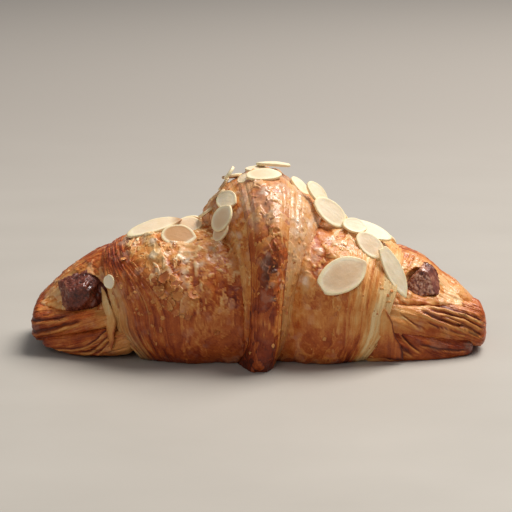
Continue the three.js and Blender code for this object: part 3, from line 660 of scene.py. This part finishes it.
def swelling(x, angle, seed):
    """Slow uneven swelling, from a few waves with fixed phases."""
    first = np.sin(0.19 * x + 2.1 * seed) * np.sin(2 * angle + 0.7 * seed)
    second = np.sin(0.31 * x - 1.3 * seed) * np.sin(3 * angle + 0.11 * x + 1.9 * seed)
    return 0.6 * first + 0.4 * second


def terraces(share, layers, width, step, blunt=0.0):
    """The main steps at the cut side: each layer a little higher than the one outside it, with a lip
    that stands up, or with a plain slope where they are blunt."""
    place = np.clip(share / width, 0, 1) ** 0.85 * layers
    layer = np.minimum(np.floor(place), layers - 1)
    within = place - layer
    lip = 0.55 * np.minimum(within * 6, 1) + 0.45 * within
    return step * (layer - layers + mix(lip, within, blunt))


def turned_in(rim, pole, undercut, steps):
    """Extra rings before the rim: the edge turned in, a third of the way to the pole and inwards by
    undercut, along an arc that bulges the other way."""
    t = np.linspace(1, 0, steps, endpoint=False)[:, None, None]
    inner = mix(rim, pole, 0.35) + (undercut, 0, 0)
    bulge = np.array([-0.7 * np.sign(undercut), 0, 0])
    return mix(rim, inner, t) + bulge * np.sin(np.pi * t)


# Where the almond slices lie on the crust: the middle of each and its half sizes.
SLICES_THERE = [
    (sum(map(np.array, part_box(node))) / 2 / MM, np.ptp(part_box(node), axis=0) / 2 / MM + 0.5)
    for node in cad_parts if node.startswith("almond")]


def bare_of_slices(points):
    """1 where the crust is bare, 0 under the middles of the almond slices that lie on it."""
    return np.prod([1 - near_to(points, *spot) for spot in SLICES_THERE], axis=0)


def shoulder(edge, inner, heights, depths, undercut, band, leaf_count, seed, swell_seed, spots):
    """A shoulder from its outer edge to under the belt. The cut leaves take up its outer band."""
    rows = np.concatenate([np.linspace(0, 0.5, 140, endpoint=False), np.linspace(0.5, 1, 52)])
    share, angle = rows[:, None], turns(455)[None, :]
    wrap = {"height": along(*heights), "depth": along(*depths), "axis": lambda x: 0}
    edge_x = around(**edge)(angle)
    x = mix(edge_x, inner, share)
    seen = mix(0.35, 1, smooth(np.sin(angle), -0.95, -0.2))
    uneven = 0.7 * smooth(share, 0.3, 0.6) * swelling(90 * share, angle, swell_seed)
    blunt = smooth(np.sin(angle), 0.6, 0.85)
    stepped = terraces(share, layers=5, width=0.42, step=0.85, blunt=blunt)
    points = section(wrap, x, angle, stepped * seen + uneven)
    mean_radius = 30.0
    run = mean_radius * angle
    place = (share / around(**band)(angle)) ** 0.85 * leaf_count
    pile, chance = leaves(place, run, seed)
    cut = smooth(place / leaf_count, 1.12, 0.8)
    bands = streaks(place * 1.1, run, seed + 80, 1.2, 24)
    sheet, torn, shadow = peeled(points * (1, 0.8, 0.6), 7, seed + 20)
    scrap, scrap_edge, scrap_shadow = peeled(points * (1, 1, 0.6), 4, seed + 25)
    flaky = spots["flaky"](points)
    bend = shifts(points, 7, seed + 30)
    crumple = ridged(points * (1, 1, 0.75) + 2.5 * bend, 7.5, seed + 33, 2)
    creases = ridged(points * (1, 1, 0.7) + bend, 2.4, seed + 90, 2)
    blister = np.maximum(0, waves(points, 6, seed + 40)) ** 1.5
    relief = cut * (0.25 * pile + 0.42 * bands) * seen
    closed = (1 - 0.7 * cut) * (0.45 + 0.55 * flaky)
    relief += closed * (0.26 * sheet + 0.14 * torn + 0.14 * scrap + 0.08 * scrap_edge)
    relief += (1 - cut) * flaky * (0.6 * crumple + 0.05 * creases) + (1 - cut) * 0.4 * blister
    relief += 0.08 * rough(points, 1.1, seed + 50, 3)
    relief += spots["lift"](points)
    bare = smooth(bare_of_slices(points), 0.3, 0.8)
    points = raised(points, np.minimum(relief, mix(-0.1, 3, bare)))
    pale_edge = spots["pale"](points) * smooth(place / leaf_count, 0.45, 0.1)
    leaf_tone = 0.1 * (pile - 0.35) + 0.18 * bands + 0.24 * (chance - 0.5)
    large = rough(points, 16, seed + 60)
    tan = 0.62 + 0.14 * large + cut * leaf_tone
    # Painted light: the torn edges of the peeled skin are made paler as highlights, and the ground beyond
    # them darker as shadow.
    tan += closed * (0.14 * (shadow + scrap_shadow) - 0.14 * sheet - 0.06 * scrap
                     - 0.2 * (torn + scrap_edge))
    # The crumpled skin is made lighter on its crests, a painted highlight.
    tan += spots["tan"](points) - 0.1 * (1 - cut) * flaky * crumple
    tan -= 0.16 * smooth(points[..., 2], 30, 42) * (1 - 0.5 * cut)
    raw = 0.9 * pale_edge * mix(0.3, 1, smooth(bands, 0.5, -0.4))
    raw = np.maximum(raw, 0.5 * cut * smooth(bands, -0.35, -0.8) * spots["pale"](points))
    raw = np.maximum(raw, 0.4 * (1 - cut) * smooth(spots["lift"](points), 0.2, 0.9))
    patch = smooth(rough(points, 4, seed + 70), -0.1, 0.35)
    glaze = np.clip(spots["glaze"](points) * (0.2 + 0.8 * patch) + 0.25 * closed * sheet, 0, 2)
    # The burnt colour in the hollows of the crumpled skin and beyond the torn edges is painted shade.
    burnt = 0.25 * smooth(-crumple * flaky, 0.4, 1.0) * (1 - cut) + 0.12 * closed * shadow
    pole = points_at(around(**edge)(np.pi / 2), 0, WAIST * wrap["height"](edge_x))
    rim_rows = 12
    rim = turned_in(points[:1], pole, undercut, rim_rows)
    lines = np.sin(np.linspace(0, 26, rim_rows))[:, None] * 0.18
    ring = np.ones((rim_rows, angle.shape[1]))
    marks = {
        "tan": np.concatenate([ring * (0.3 + lines), tan]),
        "raw": np.concatenate([ring * (0.75 - lines), np.clip(raw, 0, 1)]),
        "burnt": np.concatenate([0 * ring, burnt]),
        "glaze": np.concatenate([0 * ring, glaze]),
        "fibre": np.concatenate([ring, 0.04 + 0.9 * cut])}
    return under_table(np.concatenate([rim, points]), 0.0), marks


def draped(points):
    """Skin that came up in one sheet and sank back: it rises slowly from the left to a torn edge that
    runs down the front. Gives how high it lies, and the shadow beyond its edge."""
    x, y, z = np.moveaxis(points, -1, 0)
    off = x - along((24, -25), (29, -27.5), (36, -31.5), (41, -36))(z) + 2.2 * rough(points, 7, 421, 4)
    here = smooth(z, 24, 30) * smooth(z, 43, 40) * (y < 0)
    return smooth(off, -7, -0.6) * smooth(off, 0.5, 0) * here, np.exp(-((off - 1) / 0.8) ** 2) * here


left_shoulder = shoulder(
    edge=dict(foot=-41, front=-50, top=-55, back=-55, heel=-50, under=-44), inner=-2,
    heights=[(-58, 35.6), (-50, 39.6), (-40, 42), (-25, 42.5), (-2, 43)],
    depths=[(-58, 22.5), (-50, 26), (-40, 29), (-25, 30), (-8, 29), (-2, 28)],
    undercut=2.5, band=dict(foot=0.36, front=0.42, brow=0.2, top=0.17, back=0.34, heel=0.4, under=0.4),
    leaf_count=19, seed=401, swell_seed=1,
    spots={
        "flaky": lambda p: smooth(p[..., 2], 14, 27),
        "lift": lambda p: 1.1 * draped(p)[0],
        "pale": lambda p: smooth(p[..., 2], 33, 22),
        "tan": lambda p: (0.2 * near_to(p, (-48, -12, 35), (5, 14, 6)) + 0.12 * smooth(p[..., 2], 16, 4)
                          - 0.08 * near_to(p, (-34, -18, 37), (9, 14, 9))
                          - 0.2 * draped(p)[0] + 0.1 * draped(p)[1]),
        "glaze": lambda p: (0.4 + 0.7 * near_to(p, (-28, -20, 34), (12, 14, 9))
                            + 0.8 * smooth(p[..., 2], 34, 42) + 0.7 * draped(p)[0]
                            + 1.6 * near_to(p, (-21.6, -22.5, 35.3), (3.6, 6, 3.5)))})


def foot_tones(points):
    """The front of the cut side: a brown streak that slants down inwards, and pale leaves outside it."""
    off = points[..., 0] - 0.32 * (points[..., 2] - 10) + 0.8 * rough(points, 9, 461, 3)
    low = smooth(points[..., 2], 34, 28)
    return low * (0.19 * np.exp(-((off - 33.6) / 1.5) ** 2) - 0.28 * smooth(off, 34.5, 37.5))


right_shoulder = shoulder(
    edge=dict(foot=37, front=44.5, top=51, back=52, heel=48, under=41), inner=2,
    heights=[(2, 44), (16, 45), (24, 44.5), (32, 43), (40, 41), (52, 36.5)],
    depths=[(2, 26), (10, 28), (22, 31), (38, 30.5), (52, 27)],
    undercut=-2.5, band=dict(foot=0.3, front=0.38, top=0.36, back=0.36, heel=0.4, under=0.4),
    leaf_count=16, seed=451, swell_seed=2,
    spots={
        "flaky": lambda p: 0.6 * smooth(p[..., 2], 24, 34),
        "lift": lambda p: 1.1 * near_to(p, (15.5, -22, 33), (2.2, 30, 11)),
        "pale": lambda p: smooth(p[..., 2], 36, 24),
        "tan": lambda p: (0.12 * smooth(p[..., 2], 18, 5) - 0.1 - 0.26 * smooth(p[..., 0], 28, 36)
                          + smooth(p[..., 1], -8, -18) * foot_tones(p)
                          + 0.22 * near_to(p, (20, -17, 40), (11, 14, 8))),
        "glaze": lambda p: (0.4 - 0.2 * smooth(p[..., 0], 28, 36) * smooth(p[..., 2], 36, 30)
                            + near_to(p, (16, -22, 34), (5, 14, 10)) + 0.7 * smooth(p[..., 2], 34, 42))})
crust_pieces.append(ringed_piece("left_shoulder", *left_shoulder))
crust_pieces.append(ringed_piece("right_shoulder", *right_shoulder))


# ---- The belt ------------------------------------------------------------------------------------
# The last full wrap, a steep bulge over both shoulders. Its right side is a broad slope of cut
# leaves, orange and rosy and the most finely striped part of the croissant; its left a narrow one.

BELT = {"height": lambda x: 47, "depth": lambda x: 29, "axis": lambda x: 0}
belt_bulge = around(foot=2.4, front=3.2, top=12.4, back=5, heel=2.5, under=1)
belt_from = around(foot=-6.5, front=-5, brow=-8.8, top=-17.5, back=-22, heel=-18, under=-10)
belt_to = around(foot=5.5, front=12, top=22, back=24, heel=19, under=10)


def belt_relief(share, angle):
    """How far the belt stands out: a bulge from edge to edge and the main steps of its two sides."""
    layered = terraces(1 - share, layers=4, width=0.5, step=0.8)
    layered += terraces(share, layers=2, width=0.25, step=0.6)
    across = (1 - abs(2 * share - 1) ** 2.1) ** 0.72
    return belt_bulge(angle) * across + layered * smooth(np.sin(angle), -1, -0.2) + 0.8


def belt_surface():
    """The belt's rings from its left edge to its right, with fine leaves on both slopes."""
    share = np.linspace(0, 1, 150)[:, None]
    share = 0.5 - 0.5 * np.cos(np.pi * share) * (0.75 + 0.25 * abs(np.cos(np.pi * share)))
    angle = turns(520)[None, :]
    x = mix(belt_from(angle), belt_to(angle), share)
    points = section(BELT, x, angle, belt_relief(share, angle))
    mean_radius = 36.0
    run = mean_radius * angle
    # 13 leaves on the right 36 hundredths of its width, and 5 on the left 20 hundredths.
    right_pile = leaves((1 - share) / 0.36 * 13, run, 501)[0]
    left_pile = leaves(share / 0.2 * 5, run, 511)[0]
    right, left = smooth(share, 0.55, 0.68), smooth(share, 0.32, 0.2)
    sheet, torn, shadow = peeled(points, 5, 521)
    bands = streaks(share * 24, run, 561, 0.9, 22)
    relief = (right + left) * 0.3 * bands + right * 0.2 * right_pile + left * 0.15 * left_pile
    relief += 0.2 * sheet + 0.12 * torn + 0.08 * rough(points, 1.0, 531, 3)
    points = raised(points, relief)
    z = points[..., 2]
    # Painted light: the torn edges of the peeled skin are made paler as highlights, and the ground beyond
    # them darker as shadow.
    tan = 0.55 + 0.1 * rough(points, 14, 541) - 0.08 * sheet - 0.12 * torn + 0.1 * shadow
    tan += (right + left) * 0.14 * bands + right * (0.08 * (right_pile - 0.35) - 0.16)
    tan += 0.16 * smooth(z, 26, 4) - left * 0.14 * smooth(z, 10, 26)
    raw = right * (0.2 + 0.3 * smooth(bands, -0.3, -0.8))
    raw += left * 0.3 * smooth(share, 0.1, 0.02) * smooth(z, 10, 26)
    patch = smooth(rough(points, 3, 551), -0.2, 0.4)
    glaze = 0.2 + 0.5 * right * smooth(z, 26, 38) + patch * (0.25 + 0.7 * smooth(z, 34, 48))
    marks = {"tan": tan, "raw": raw, "burnt": 0, "glaze": glaze,
             "fibre": np.clip(0.2 + right + left, 0, 1)}
    return under_table(points, 0.01), marks


belt = belt_surface()
crust_pieces.append(ringed_piece("belt", *belt))


# ---- The tongue ----------------------------------------------------------------------------------
# The point of the triangle: a ridge that comes over the top and ends in a blunt tab at the foot of
# the front. It took the most heat: glazed brown on top, cracked and nearly black below it, and a
# deep red-brown at the tab, with a dark line down its left side.

tongue_rise = around(foot=3.8, front=3.2, top=1.4, back=2.2, heel=2, under=1)
tongue_from = around(foot=-7.4, front=-2.8, brow=-4.2, top=-9, back=-14, heel=-12, under=-8)
tongue_to = around(foot=5, front=8.2, top=12, back=15, heel=13, under=8)


def tongue_surface():
    """The tongue's rings from its left edge to its right: a ridge over the belt, with streaks along
    it, torn skin on its back and cracks where it is burnt."""
    share = (0.5 - 0.5 * np.cos(np.pi * np.linspace(0, 1, 110)))[:, None]
    angle = turns(640)[None, :]
    x = mix(tongue_from(angle), tongue_to(angle), share)
    across_belt = np.clip((x - belt_from(angle)) / (belt_to(angle) - belt_from(angle)), 0, 1)
    ridge = (1 - abs(2 * share - 1) ** 2.6) ** 0.6
    uneven = 0.4 * swelling(40 * share, 3 * angle, 4) * ridge
    lift = belt_relief(across_belt, angle) + tongue_rise(angle) * ridge - 0.8 * (1 - ridge) + uneven
    points = section(BELT, x, angle, lift)
    mean_radius = 38.0
    run = mean_radius * angle
    streak = leaves(share * 9, run, 601)[0]
    side = smooth(share, 0.34, 0.16) + 0.7 * smooth(share, 0.72, 0.86)
    bands = streaks(share * 17, run, 681, 1.1, 24)
    sheet, torn, shadow = peeled(points * (1, 1, 0.7), 5, 611)
    scorched = near_to(points, (4.6, -33, 34.5), (3.6, 14, 9))
    bend = shifts(points, 6, 622)
    blisters = ridged(points + 1.5 * bend, 3.6, 625, 2)
    creases = ridged(points * (1.2, 1, 0.6) + 2 * bend, 8, 631, 2)
    wrinkle = ridged(points, 1.8, 691)
    relief = side * (0.4 * bands + 0.2 * streak)
    relief += (1 - side) * (0.3 * sheet + 0.15 * torn + 0.45 * creases)
    relief += 0.07 * wrinkle + 0.4 * scorched * blisters + 0.05 * rough(points, 0.9, 641, 3)
    points = raised(points, relief * smooth(ridge, 0, 0.4))
    y, z = points[..., 1], points[..., 2]
    low = smooth(z, 24, 6) * smooth(y, 0, -20)
    high = smooth(z, 44, 54)
    front = smooth(y, -8, -20)
    strip = smooth(share, 0.84, 0.88) * smooth(share, 0.97, 0.93) * front * smooth(z, 38, 30)
    # Painted light: the torn edges of the peeled skin are made paler as highlights, and the ground beyond
    # them darker as shadow.
    tan = 0.52 + 0.2 * rough(points, 9, 651) - 0.12 * sheet - 0.14 * torn + 0.12 * shadow
    tan += front * (0.16 * smooth(z, 46, 32) + 0.2 * smooth(z, 12, 5) + 0.08 * smooth(share, 0.4, 0.2))
    tan += 0.14 * side * bands - 0.3 * strip - 0.06 * high
    tan += 0.15 * smooth(share, 0.06, 0.01) * smooth(y, 5, -15)
    patches = smooth(rough(points * (1, 1, 0.6), 5, 661), 0.02, 0.16)
    burnt = np.clip((1.1 * scorched + 0.1 * low) * patches * (1 - strip), 0, 0.9)
    # The blister crests are left lighter inside the burnt patch, a painted highlight.
    burnt = burnt * smooth(blisters, 0.98, 0.7)
    streaky = smooth(rough(points, 4, 671), -0.05, 0.3)
    glaze = np.clip(0.2 + 0.55 * high + (0.15 + 0.45 * high + 0.8 * scorched) * streaky, 0, 1.6)
    marks = {"tan": tan, "raw": 0, "burnt": burnt, "glaze": glaze, "fibre": 0.05 + 0.8 * side}
    return under_table(points, 0.02), marks


tongue = tongue_surface()
crust_pieces.append(ringed_piece("tongue", *tongue))


# ---- The crust's finish --------------------------------------------------------------------------
# Baked dough: pale yellow where it was covered, golden, amber, red-brown and nearly black where it
# burnt, with fine fibres along the leaves and pores in the skin, and dried glaze over it in places.

DOUGH_MARKS = ("Tan", "Raw", "Burnt", "Glaze", "Fibre")


def baked_dough():
    """The colours, roughness and fine relief of baked dough, from how far each point is browned."""
    group = bpy.data.node_groups.new("Baked dough", "ShaderNodeTree")
    for way, kind, names in (
            ("INPUT", "Vector", ("Place", "Grain")), ("INPUT", "Float", DOUGH_MARKS),
            ("OUTPUT", "Color", ("Color",)), ("OUTPUT", "Float", ("Roughness", "Coat", "Height"))):
        for name in names:
            group.interface.new_socket(name, in_out=way, socket_type="NodeSocket" + kind)
    shading = Shading(group)
    given = group.nodes.new("NodeGroupInput").outputs
    pores = shading.speckle(given["Place"], 0.0005, 4)
    mottle = shading.speckle(given["Place"], 0.0028, 4)
    blush = shading.speckle(given["Place"], 0.009, 2)
    fibres = shading.speckle(given["Grain"], 0.42, 3, stretch=(1, 11, 1))
    threads = shading.maths("MULTIPLY", fibres, given["Fibre"])
    tan = shading.weighted(given["Tan"], (pores, 0.2), (mottle, 0.34), (blush, 0.16),
                           (threads, 0.26), (given["Fibre"], -0.13), (1.0, -0.35))
    baked = shading.ramp(tan, [(0.0, "efd09a"), (0.2, "e3a965"), (0.4, "d2853f"), (0.58, "b2561e"),
                               (0.78, "862f0a"), (1.0, "4c1808")])
    uncooked = shading.ramp(shading.weighted(0.0, (mottle, 0.6), (fibres, 0.4)),
                            [(0.3, "b67c3c"), (0.5, "d8a561"), (0.7, "e9c88c")])
    hue = shading.blend(given["Raw"], baked, uncooked)
    patchy = shading.weighted(-0.24, (mottle, 1.15))
    thick = shading.maths("MAXIMUM", shading.weighted(-0.4, (given["Glaze"], 1.3)), 0)
    film = shading.maths("MULTIPLY", thick, patchy, clamp=True)
    hue = shading.blend(film, hue, colour("efd5b8"))
    hue = shading.blend(given["Burnt"], hue, shading.ramp(pores, [(0.35, "2e120a"), (0.65, "532412")]))
    wet = shading.weighted(0.32, (given["Glaze"], -0.18), (mottle, 0.2), (pores, 0.12))
    grains = shading.speckle(given["Place"], 0.0011, 3)
    crinkle = shading.maths("ABSOLUTE", shading.weighted(-0.5, (grains, 1)))
    shading.feed(
        group.nodes.new("NodeGroupOutput"), Color=hue, Roughness=wet,
        Coat=shading.maths("MULTIPLY", given["Glaze"], 0.35, clamp=True),
        Height=shading.weighted(0.0, (pores, 0.4), (threads, 0.7), (mottle, 0.3), (crinkle, -0.7)))
    return group


dough_group = baked_dough()


def crust_material(name):
    """The finish of one piece of dough: baked dough as the piece's own marks say."""
    material, shading = new_material(name)
    coordinates = shading.add("TexCoord").outputs
    marks = {mark: shading.mark(mark.lower()) for mark in DOUGH_MARKS}
    dough = shading.add("Group", {"node_tree": dough_group}, Place=coordinates["Object"],
                        Grain=coordinates["UV"], **marks).outputs
    shading.feed(
        shading.shader, Base_Color=dough["Color"], Roughness=dough["Roughness"],
        Coat_Weight=dough["Coat"], Coat_Roughness=0.15, Specular_IOR_Level=0.3,
        Normal=shading.bump(strength=0.8, distance=0.00024, height=dough["Height"]))
    return material


crust = crust_material("Baked crust")
for piece in crust_pieces:
    piece.data.materials.append(crust)
    fit(piece, "pastry", "pastry")


# ---- Loose flakes --------------------------------------------------------------------------------
# Shards of the skin, thin as paper, that have come up from the crust and curled in the oven. Each is
# still stuck down along one edge. Nearly half stand on the left shoulder, the rest on the other wraps.

HALF_FLAKE = 0.04  # half of a flake's thickness


def shards(surface, middle, radii, elsewhere, count, length, hanging, browned, seed, rings=5, corners=8):
    """Thin curled sheets on a ringed surface, crowded within the radii of a middle and sparser
    elsewhere: each starts under the skin, runs along it, downwards where hanging is large, and bends
    away from it. Rings go round the sheet's thin section."""
    random = np.random.default_rng(seed)
    points = surface[0]
    normal = outward(points)
    off_table = points[..., 2] > 6
    off_slices = bare_of_slices(points) > 0.7
    weight = np.clip(near_to(points, middle, radii) + elsewhere, 0, None) * off_table * off_slices
    picked = random.choice(weight.size, count, p=(weight / weight.sum()).ravel())
    root, up = points.reshape(-1, 3)[picked], normal.reshape(-1, 3)[picked]
    heading = random.normal(size=(count, 3)) * (1.2, 0.6, 1) - (0, 0, hanging)
    heading -= (heading * up).sum(1, keepdims=True) * up
    heading /= np.linalg.norm(heading, axis=1, keepdims=True)
    sideways = np.cross(up, heading)
    size = random.uniform(*length, (count, 1, 1))
    width = size * random.uniform(0.25, 0.75, (count, 1, 1))
    t = np.linspace(0, 1, rings)[None, :, None]
    turn = np.linspace(0, 2 * np.pi, corners, endpoint=False)[None, None, :]
    bend = random.uniform(0.02, 0.4, (count, 1, 1)) ** 1.3
    curl = random.uniform(-0.4, 0.5, (count, 1, 1))
    ragged = 1 + 2.8 / corners * random.uniform(-1, 1, (count, rings, corners))
    side = np.cos(turn) * (0.35 + np.sin(np.pi * (0.12 + 0.8 * t)) ** 0.6) * ragged * 0.6
    forth = size * (t - 0.12) * (1 + 0.12 * np.cos(3 * turn))
    lift = size * bend * np.maximum(t - 0.05, 0) ** 1.6 + curl * width * side ** 2 * 0.5
    lift = lift + HALF_FLAKE * (np.sin(turn) - 0.5)
    sheets = (root[:, None, None] + heading[:, None, None] * forth[..., None]
              + sideways[:, None, None] * (width * side)[..., None] + up[:, None, None] * lift[..., None])
    # The edges are made paler: a painted highlight where the thin edges catch the light.
    edge = smooth(abs(np.cos(turn)), 0.6, 1) + smooth(t, 0.7, 1)
    tone = random.uniform(-0.16, 0.12, (count, 1, 1))
    marks = {"tan": browned + tone - 0.14 * np.clip(edge, 0, 1),
             "raw": 0.1, "burnt": 0, "glaze": 0.35, "fibre": 0.3}
    return sheets, marks


flake_finish = crust_material("Thin flakes")
# Name, surface, middle, radii, share elsewhere, count, lengths, hanging, browned, seed, rings, corners.
for name, surface, *how in (
        ("flakes_on_the_left_shoulder", left_shoulder,
         (-30, -26, 27), (12, 16, 11), 0.03, 150, (0.5, 1.8), 0, 0.5, 701),
        ("large_flakes_on_the_left_shoulder", left_shoulder,
         (-28, -28, 26), (9, 12, 8), -0.25, 22, (1.8, 4), 1.2, 0.56, 703, 11, 14),
        ("flakes_on_the_belt", belt, (12, -20, 36), (8, 20, 20), 0.1, 60, (0.4, 1.2), 0, 0.5, 704),
        ("flakes_on_the_tongue", tongue, (5, -28, 36), (6, 20, 18), 0.05, 50, (0.4, 1.4), 0, 0.52, 705),
        ("flakes_on_the_right_shoulder", right_shoulder,
         (26, -26, 22), (16, 16, 14), 0.1, 80, (0.4, 1.6), 0, 0.5, 702)):
    piece = ringed_piece(name, *shards(surface, *how))
    piece.data.materials.append(flake_finish)
    fit(piece, "pastry", "pastry")


# ---- The sliced almonds --------------------------------------------------------------------------
# Blanched almonds cut lengthwise into slices about 1 mm thick, strewn on the wet glaze and baked
# with it: ivory at the rim, a faintly rosy tan in the middle, the tips of a few toasted brown. One
# slice's middle is darker still: painted shade where it lies in shadow.

HALF_SLICE = 0.5  # half of a slice's thickness


def slice_frame(node):
    """The middle, axes and sizes of a slice's own solid: its axes are those in which its points
    spread most and least, turned so that it sags away from its face and is pointed towards +long."""
    points = np.empty(len(node.data.vertices) * 3)
    node.data.vertices.foreach_get("co", points)
    points = points.reshape(-1, 3) / MM
    middle = points.mean(0)
    face, wide, long = np.linalg.eigh(np.cov((points - middle).T))[1].T
    local = (points - middle) @ np.stack([long, wide, face], 1)
    far = abs(local[:, 0]) > 0.3 * np.ptp(local[:, 0])
    if local[far, 2].mean() > local[~far, 2].mean():
        face = -face
    if (local[:, 0] * abs(local[:, 1])).sum() > 0:
        long = -long
    wide = np.cross(face, long)
    local = (points - middle) @ np.stack([long, wide, face], 1)
    low, high = local.min(0), local.max(0)
    centre = np.append((low + high)[:2] / 2, high[2] - HALF_SLICE)
    axes = np.stack([long, wide, face])
    return middle + centre @ axes, axes, high - low


def almond_surface(middle, axes, size, seed, tan_and_painted_shade, toasted, chipped):
    """An egg-shaped plate: rings from the middle of its face over the rounded rim to the middle of
    its underside, bent down at its ends, with a raised rim, saw marks and a chipped edge."""
    angle = np.linspace(0, 2 * np.pi, 110, endpoint=False)[None, :]
    face_rows, back_rows = 30, 9
    reach = np.concatenate([np.linspace(0.03, 0.94, face_rows), [0.965, 0.985, 0.997, 1, 0.99, 0.97],
                            np.linspace(0.92, 0.03, back_rows)])[:, None]
    height = np.concatenate([np.full(face_rows, 1), [0.94, 0.78, 0.45, 0, -0.6, -0.92],
                             np.full(back_rows, -1)])[:, None]
    wobble = points_at(2.5 * np.cos(angle), 2.5 * np.sin(angle), seed)
    outline = 1 - 0.035 * abs(rough(wobble, 1.1, seed))
    pointed = np.cos(angle / 2) ** 2 * (0.6 + 0.9 * abs(np.sin(seed)))
    half_long, half_wide = size[:2] / 2
    x = half_long * reach * outline * np.cos(angle)
    y = half_wide * reach * outline * np.sign(np.sin(angle)) * abs(np.sin(angle)) ** (0.9 + 0.5 * pointed)
    x = np.maximum(x, half_long * (chipped - 1) - 0.5 * chipped * waves(wobble, 0.3, seed + 1) * reach)
    spot = points_at(x, y, seed * 3.1)
    rim = smooth(reach, 0.72, 0.86) * smooth(reach, 1.01, 0.95)
    top = height > 0.9
    z = HALF_SLICE * height + top * (0.07 * rim + 0.09 * rough(spot, 4, seed + 2) - 0.05)
    z += top * 0.02 * waves(points_at(x * 0.3, y, 0), 0.9, seed + 3)
    z -= 0.06 * half_long * (x / half_long) ** 2
    edge = smooth(reach + 0.05 * rough(spot, 3, seed + 4), 0.8, 0.93)
    off_middle = reach + 0.09 * np.cos(angle - seed) + 0.1 * rough(spot, 3.5, seed + 5)
    heart = tan_and_painted_shade * (0.5 * smooth(off_middle, 0.87, 0.8) + 0.5 * smooth(off_middle, 0.9, 0.45))
    toast = toasted * smooth(np.cos(angle) * reach + 0.1 * rough(spot, 2, seed + 6), 0.55, 0.95)
    return middle + points_at(x, y, z) @ axes, {"rim": edge, "heart": heart, "toast": toast}


material, shading = new_material("Sliced almond")
place = shading.add("TexCoord").outputs["Object"]
grain = shading.speckle(place, 0.0005, 3)
cloud = shading.speckle(place, 0.003, 3)
flesh = shading.ramp(shading.weighted(0.0, (cloud, 0.7), (grain, 0.3)),
                     [(0.3, "f2deb8"), (0.55, "f7e7c7"), (0.75, "faefd5")])
flesh = shading.blend(shading.maths("MULTIPLY", shading.mark("heart"), 0.75), flesh, colour("cf9c69"))
flesh = shading.blend(shading.mark("rim"), flesh, shading.ramp(grain, [(0.3, "f0dcae"), (0.7, "f8e8bd")]))
flesh = shading.blend(shading.maths("MULTIPLY", shading.mark("toast"), 0.85), flesh, colour("a86a36"))
shading.feed(
    shading.shader, Base_Color=flesh, Roughness=shading.weighted(0.38, (cloud, 0.25)),
    Normal=shading.bump(strength=0.35, distance=0.0001, height=grain),
    Subsurface_Weight=0.12, Subsurface_Radius=(0.0015, 0.001, 0.0006))
# How tanned each slice's middle is; slice 4's large value is painted shade, as that slice lies in shadow.
TAN_AND_PAINTED_SHADE = {4: 1.8, 26: 0.8, 6: 0.8, 7: 0.7, 2: 0.7, 24: 0.5, 14: 0.5}
TOASTED = {3: 1, 12: 1, 10: 0.8, 9: 0.7, 26: 0.5}
CHIPPED = {26: 0.09, 25: 0.1, 1: 0.12}
for number in range(1, 34):
    node = f"almond_slice_{number:02d}"
    piece = ringed_piece("sliced_" + node, *almond_surface(
        *slice_frame(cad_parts[node]), seed=800 + 7 * number,
        tan_and_painted_shade=TAN_AND_PAINTED_SHADE.get(number, 0.06 + 0.1 * (number % 4)), toasted=TOASTED.get(number, 0),
        chipped=CHIPPED.get(number, 0)))
    piece.data.materials.append(material)
    fit(piece, "almond", node)


# ---- The table, the light and the camera ---------------------------------------------------------
# A plain pale table that runs back out of sight, painted darker further back where the light falls
# off, under a large soft light from the upper right and behind, with a weaker one from the left and
# front. The camera looks down from 0.55 m away.

JUST_UNDER = -0.00002
bpy.ops.mesh.primitive_plane_add(size=8, location=(0, 2, JUST_UNDER))
table = bpy.context.object
table.name = "table"
material, shading = new_material("Pale table")
place = shading.add("TexCoord").outputs["Object"]
cloud = shading.speckle(place, 0.05, 5, stretch=(1.6, 1, 1))
plain = shading.ramp(cloud, [(0.3, "aca69c"), (0.7, "b3ada3")])
# Painted shade: the table darkens further back, where the light falls off.
depth = shading.add("SeparateXYZ", Vector=place).outputs["Y"]
back = shading.add("MapRange", {"interpolation_type": "SMOOTHSTEP"}, Value=depth, From_Min=-2.05,
                   From_Max=-1.45).outputs[0]
shading.feed(shading.shader, Base_Color=shading.blend(back, plain, colour("a29b92")), Roughness=0.55)
table.data.materials.append(material)


def soft_light(name, place, aim, size, power, tint):
    """A square area light at a place in metres, turned towards a point."""
    light = bpy.data.lights.new(name, "AREA")
    light.shape, light.size, light.energy, light.color = "SQUARE", size, power, tint
    holder = bpy.data.objects.new(name, light)
    holder.location = place
    holder.rotation_euler = (Vector(aim) - Vector(place)).to_track_quat("-Z", "Y").to_euler()
    bpy.context.collection.objects.link(holder)


soft_light("window light", (0.66, 0.44, 1.38), aim=(0, 0, 0.02), size=1.0, power=39.4,
           tint=(1.0, 0.965, 0.935))
soft_light("front fill", (-0.5, -1.3, 0.9), aim=(0, 0, 0.02), size=0.9, power=3.5,
           tint=(1.0, 0.98, 0.96))
world = bpy.data.worlds.new("room")
world.use_nodes = True
room = world.node_tree.nodes["Background"].inputs
room["Color"].default_value = (0.92, 0.95, 1.0, 1)
room["Strength"].default_value = 0.2
bpy.context.scene.world = world
bpy.context.scene.view_settings.view_transform = "Standard"

AWAY = 0.55
WIDTH_SHOWN = 0.1803
SENSOR = 36
PIXELS = 512
ELEVATION = math.radians(15)
aim = Vector((0.0002, 0, 0.031))
camera = bpy.data.objects.new("camera", bpy.data.cameras.new("camera"))
camera.location = aim + AWAY * Vector((0, -math.cos(ELEVATION), math.sin(ELEVATION)))
camera.rotation_euler = (math.radians(90) - ELEVATION, 0, 0)
camera.data.sensor_width = SENSOR
camera.data.lens = SENSOR * AWAY / WIDTH_SHOWN
camera.data.shift_x = -3.5 / PIXELS
camera.data.shift_y = 1.0 / PIXELS
camera.data.clip_end = 20
bpy.context.collection.objects.link(camera)
bpy.context.scene.camera = camera
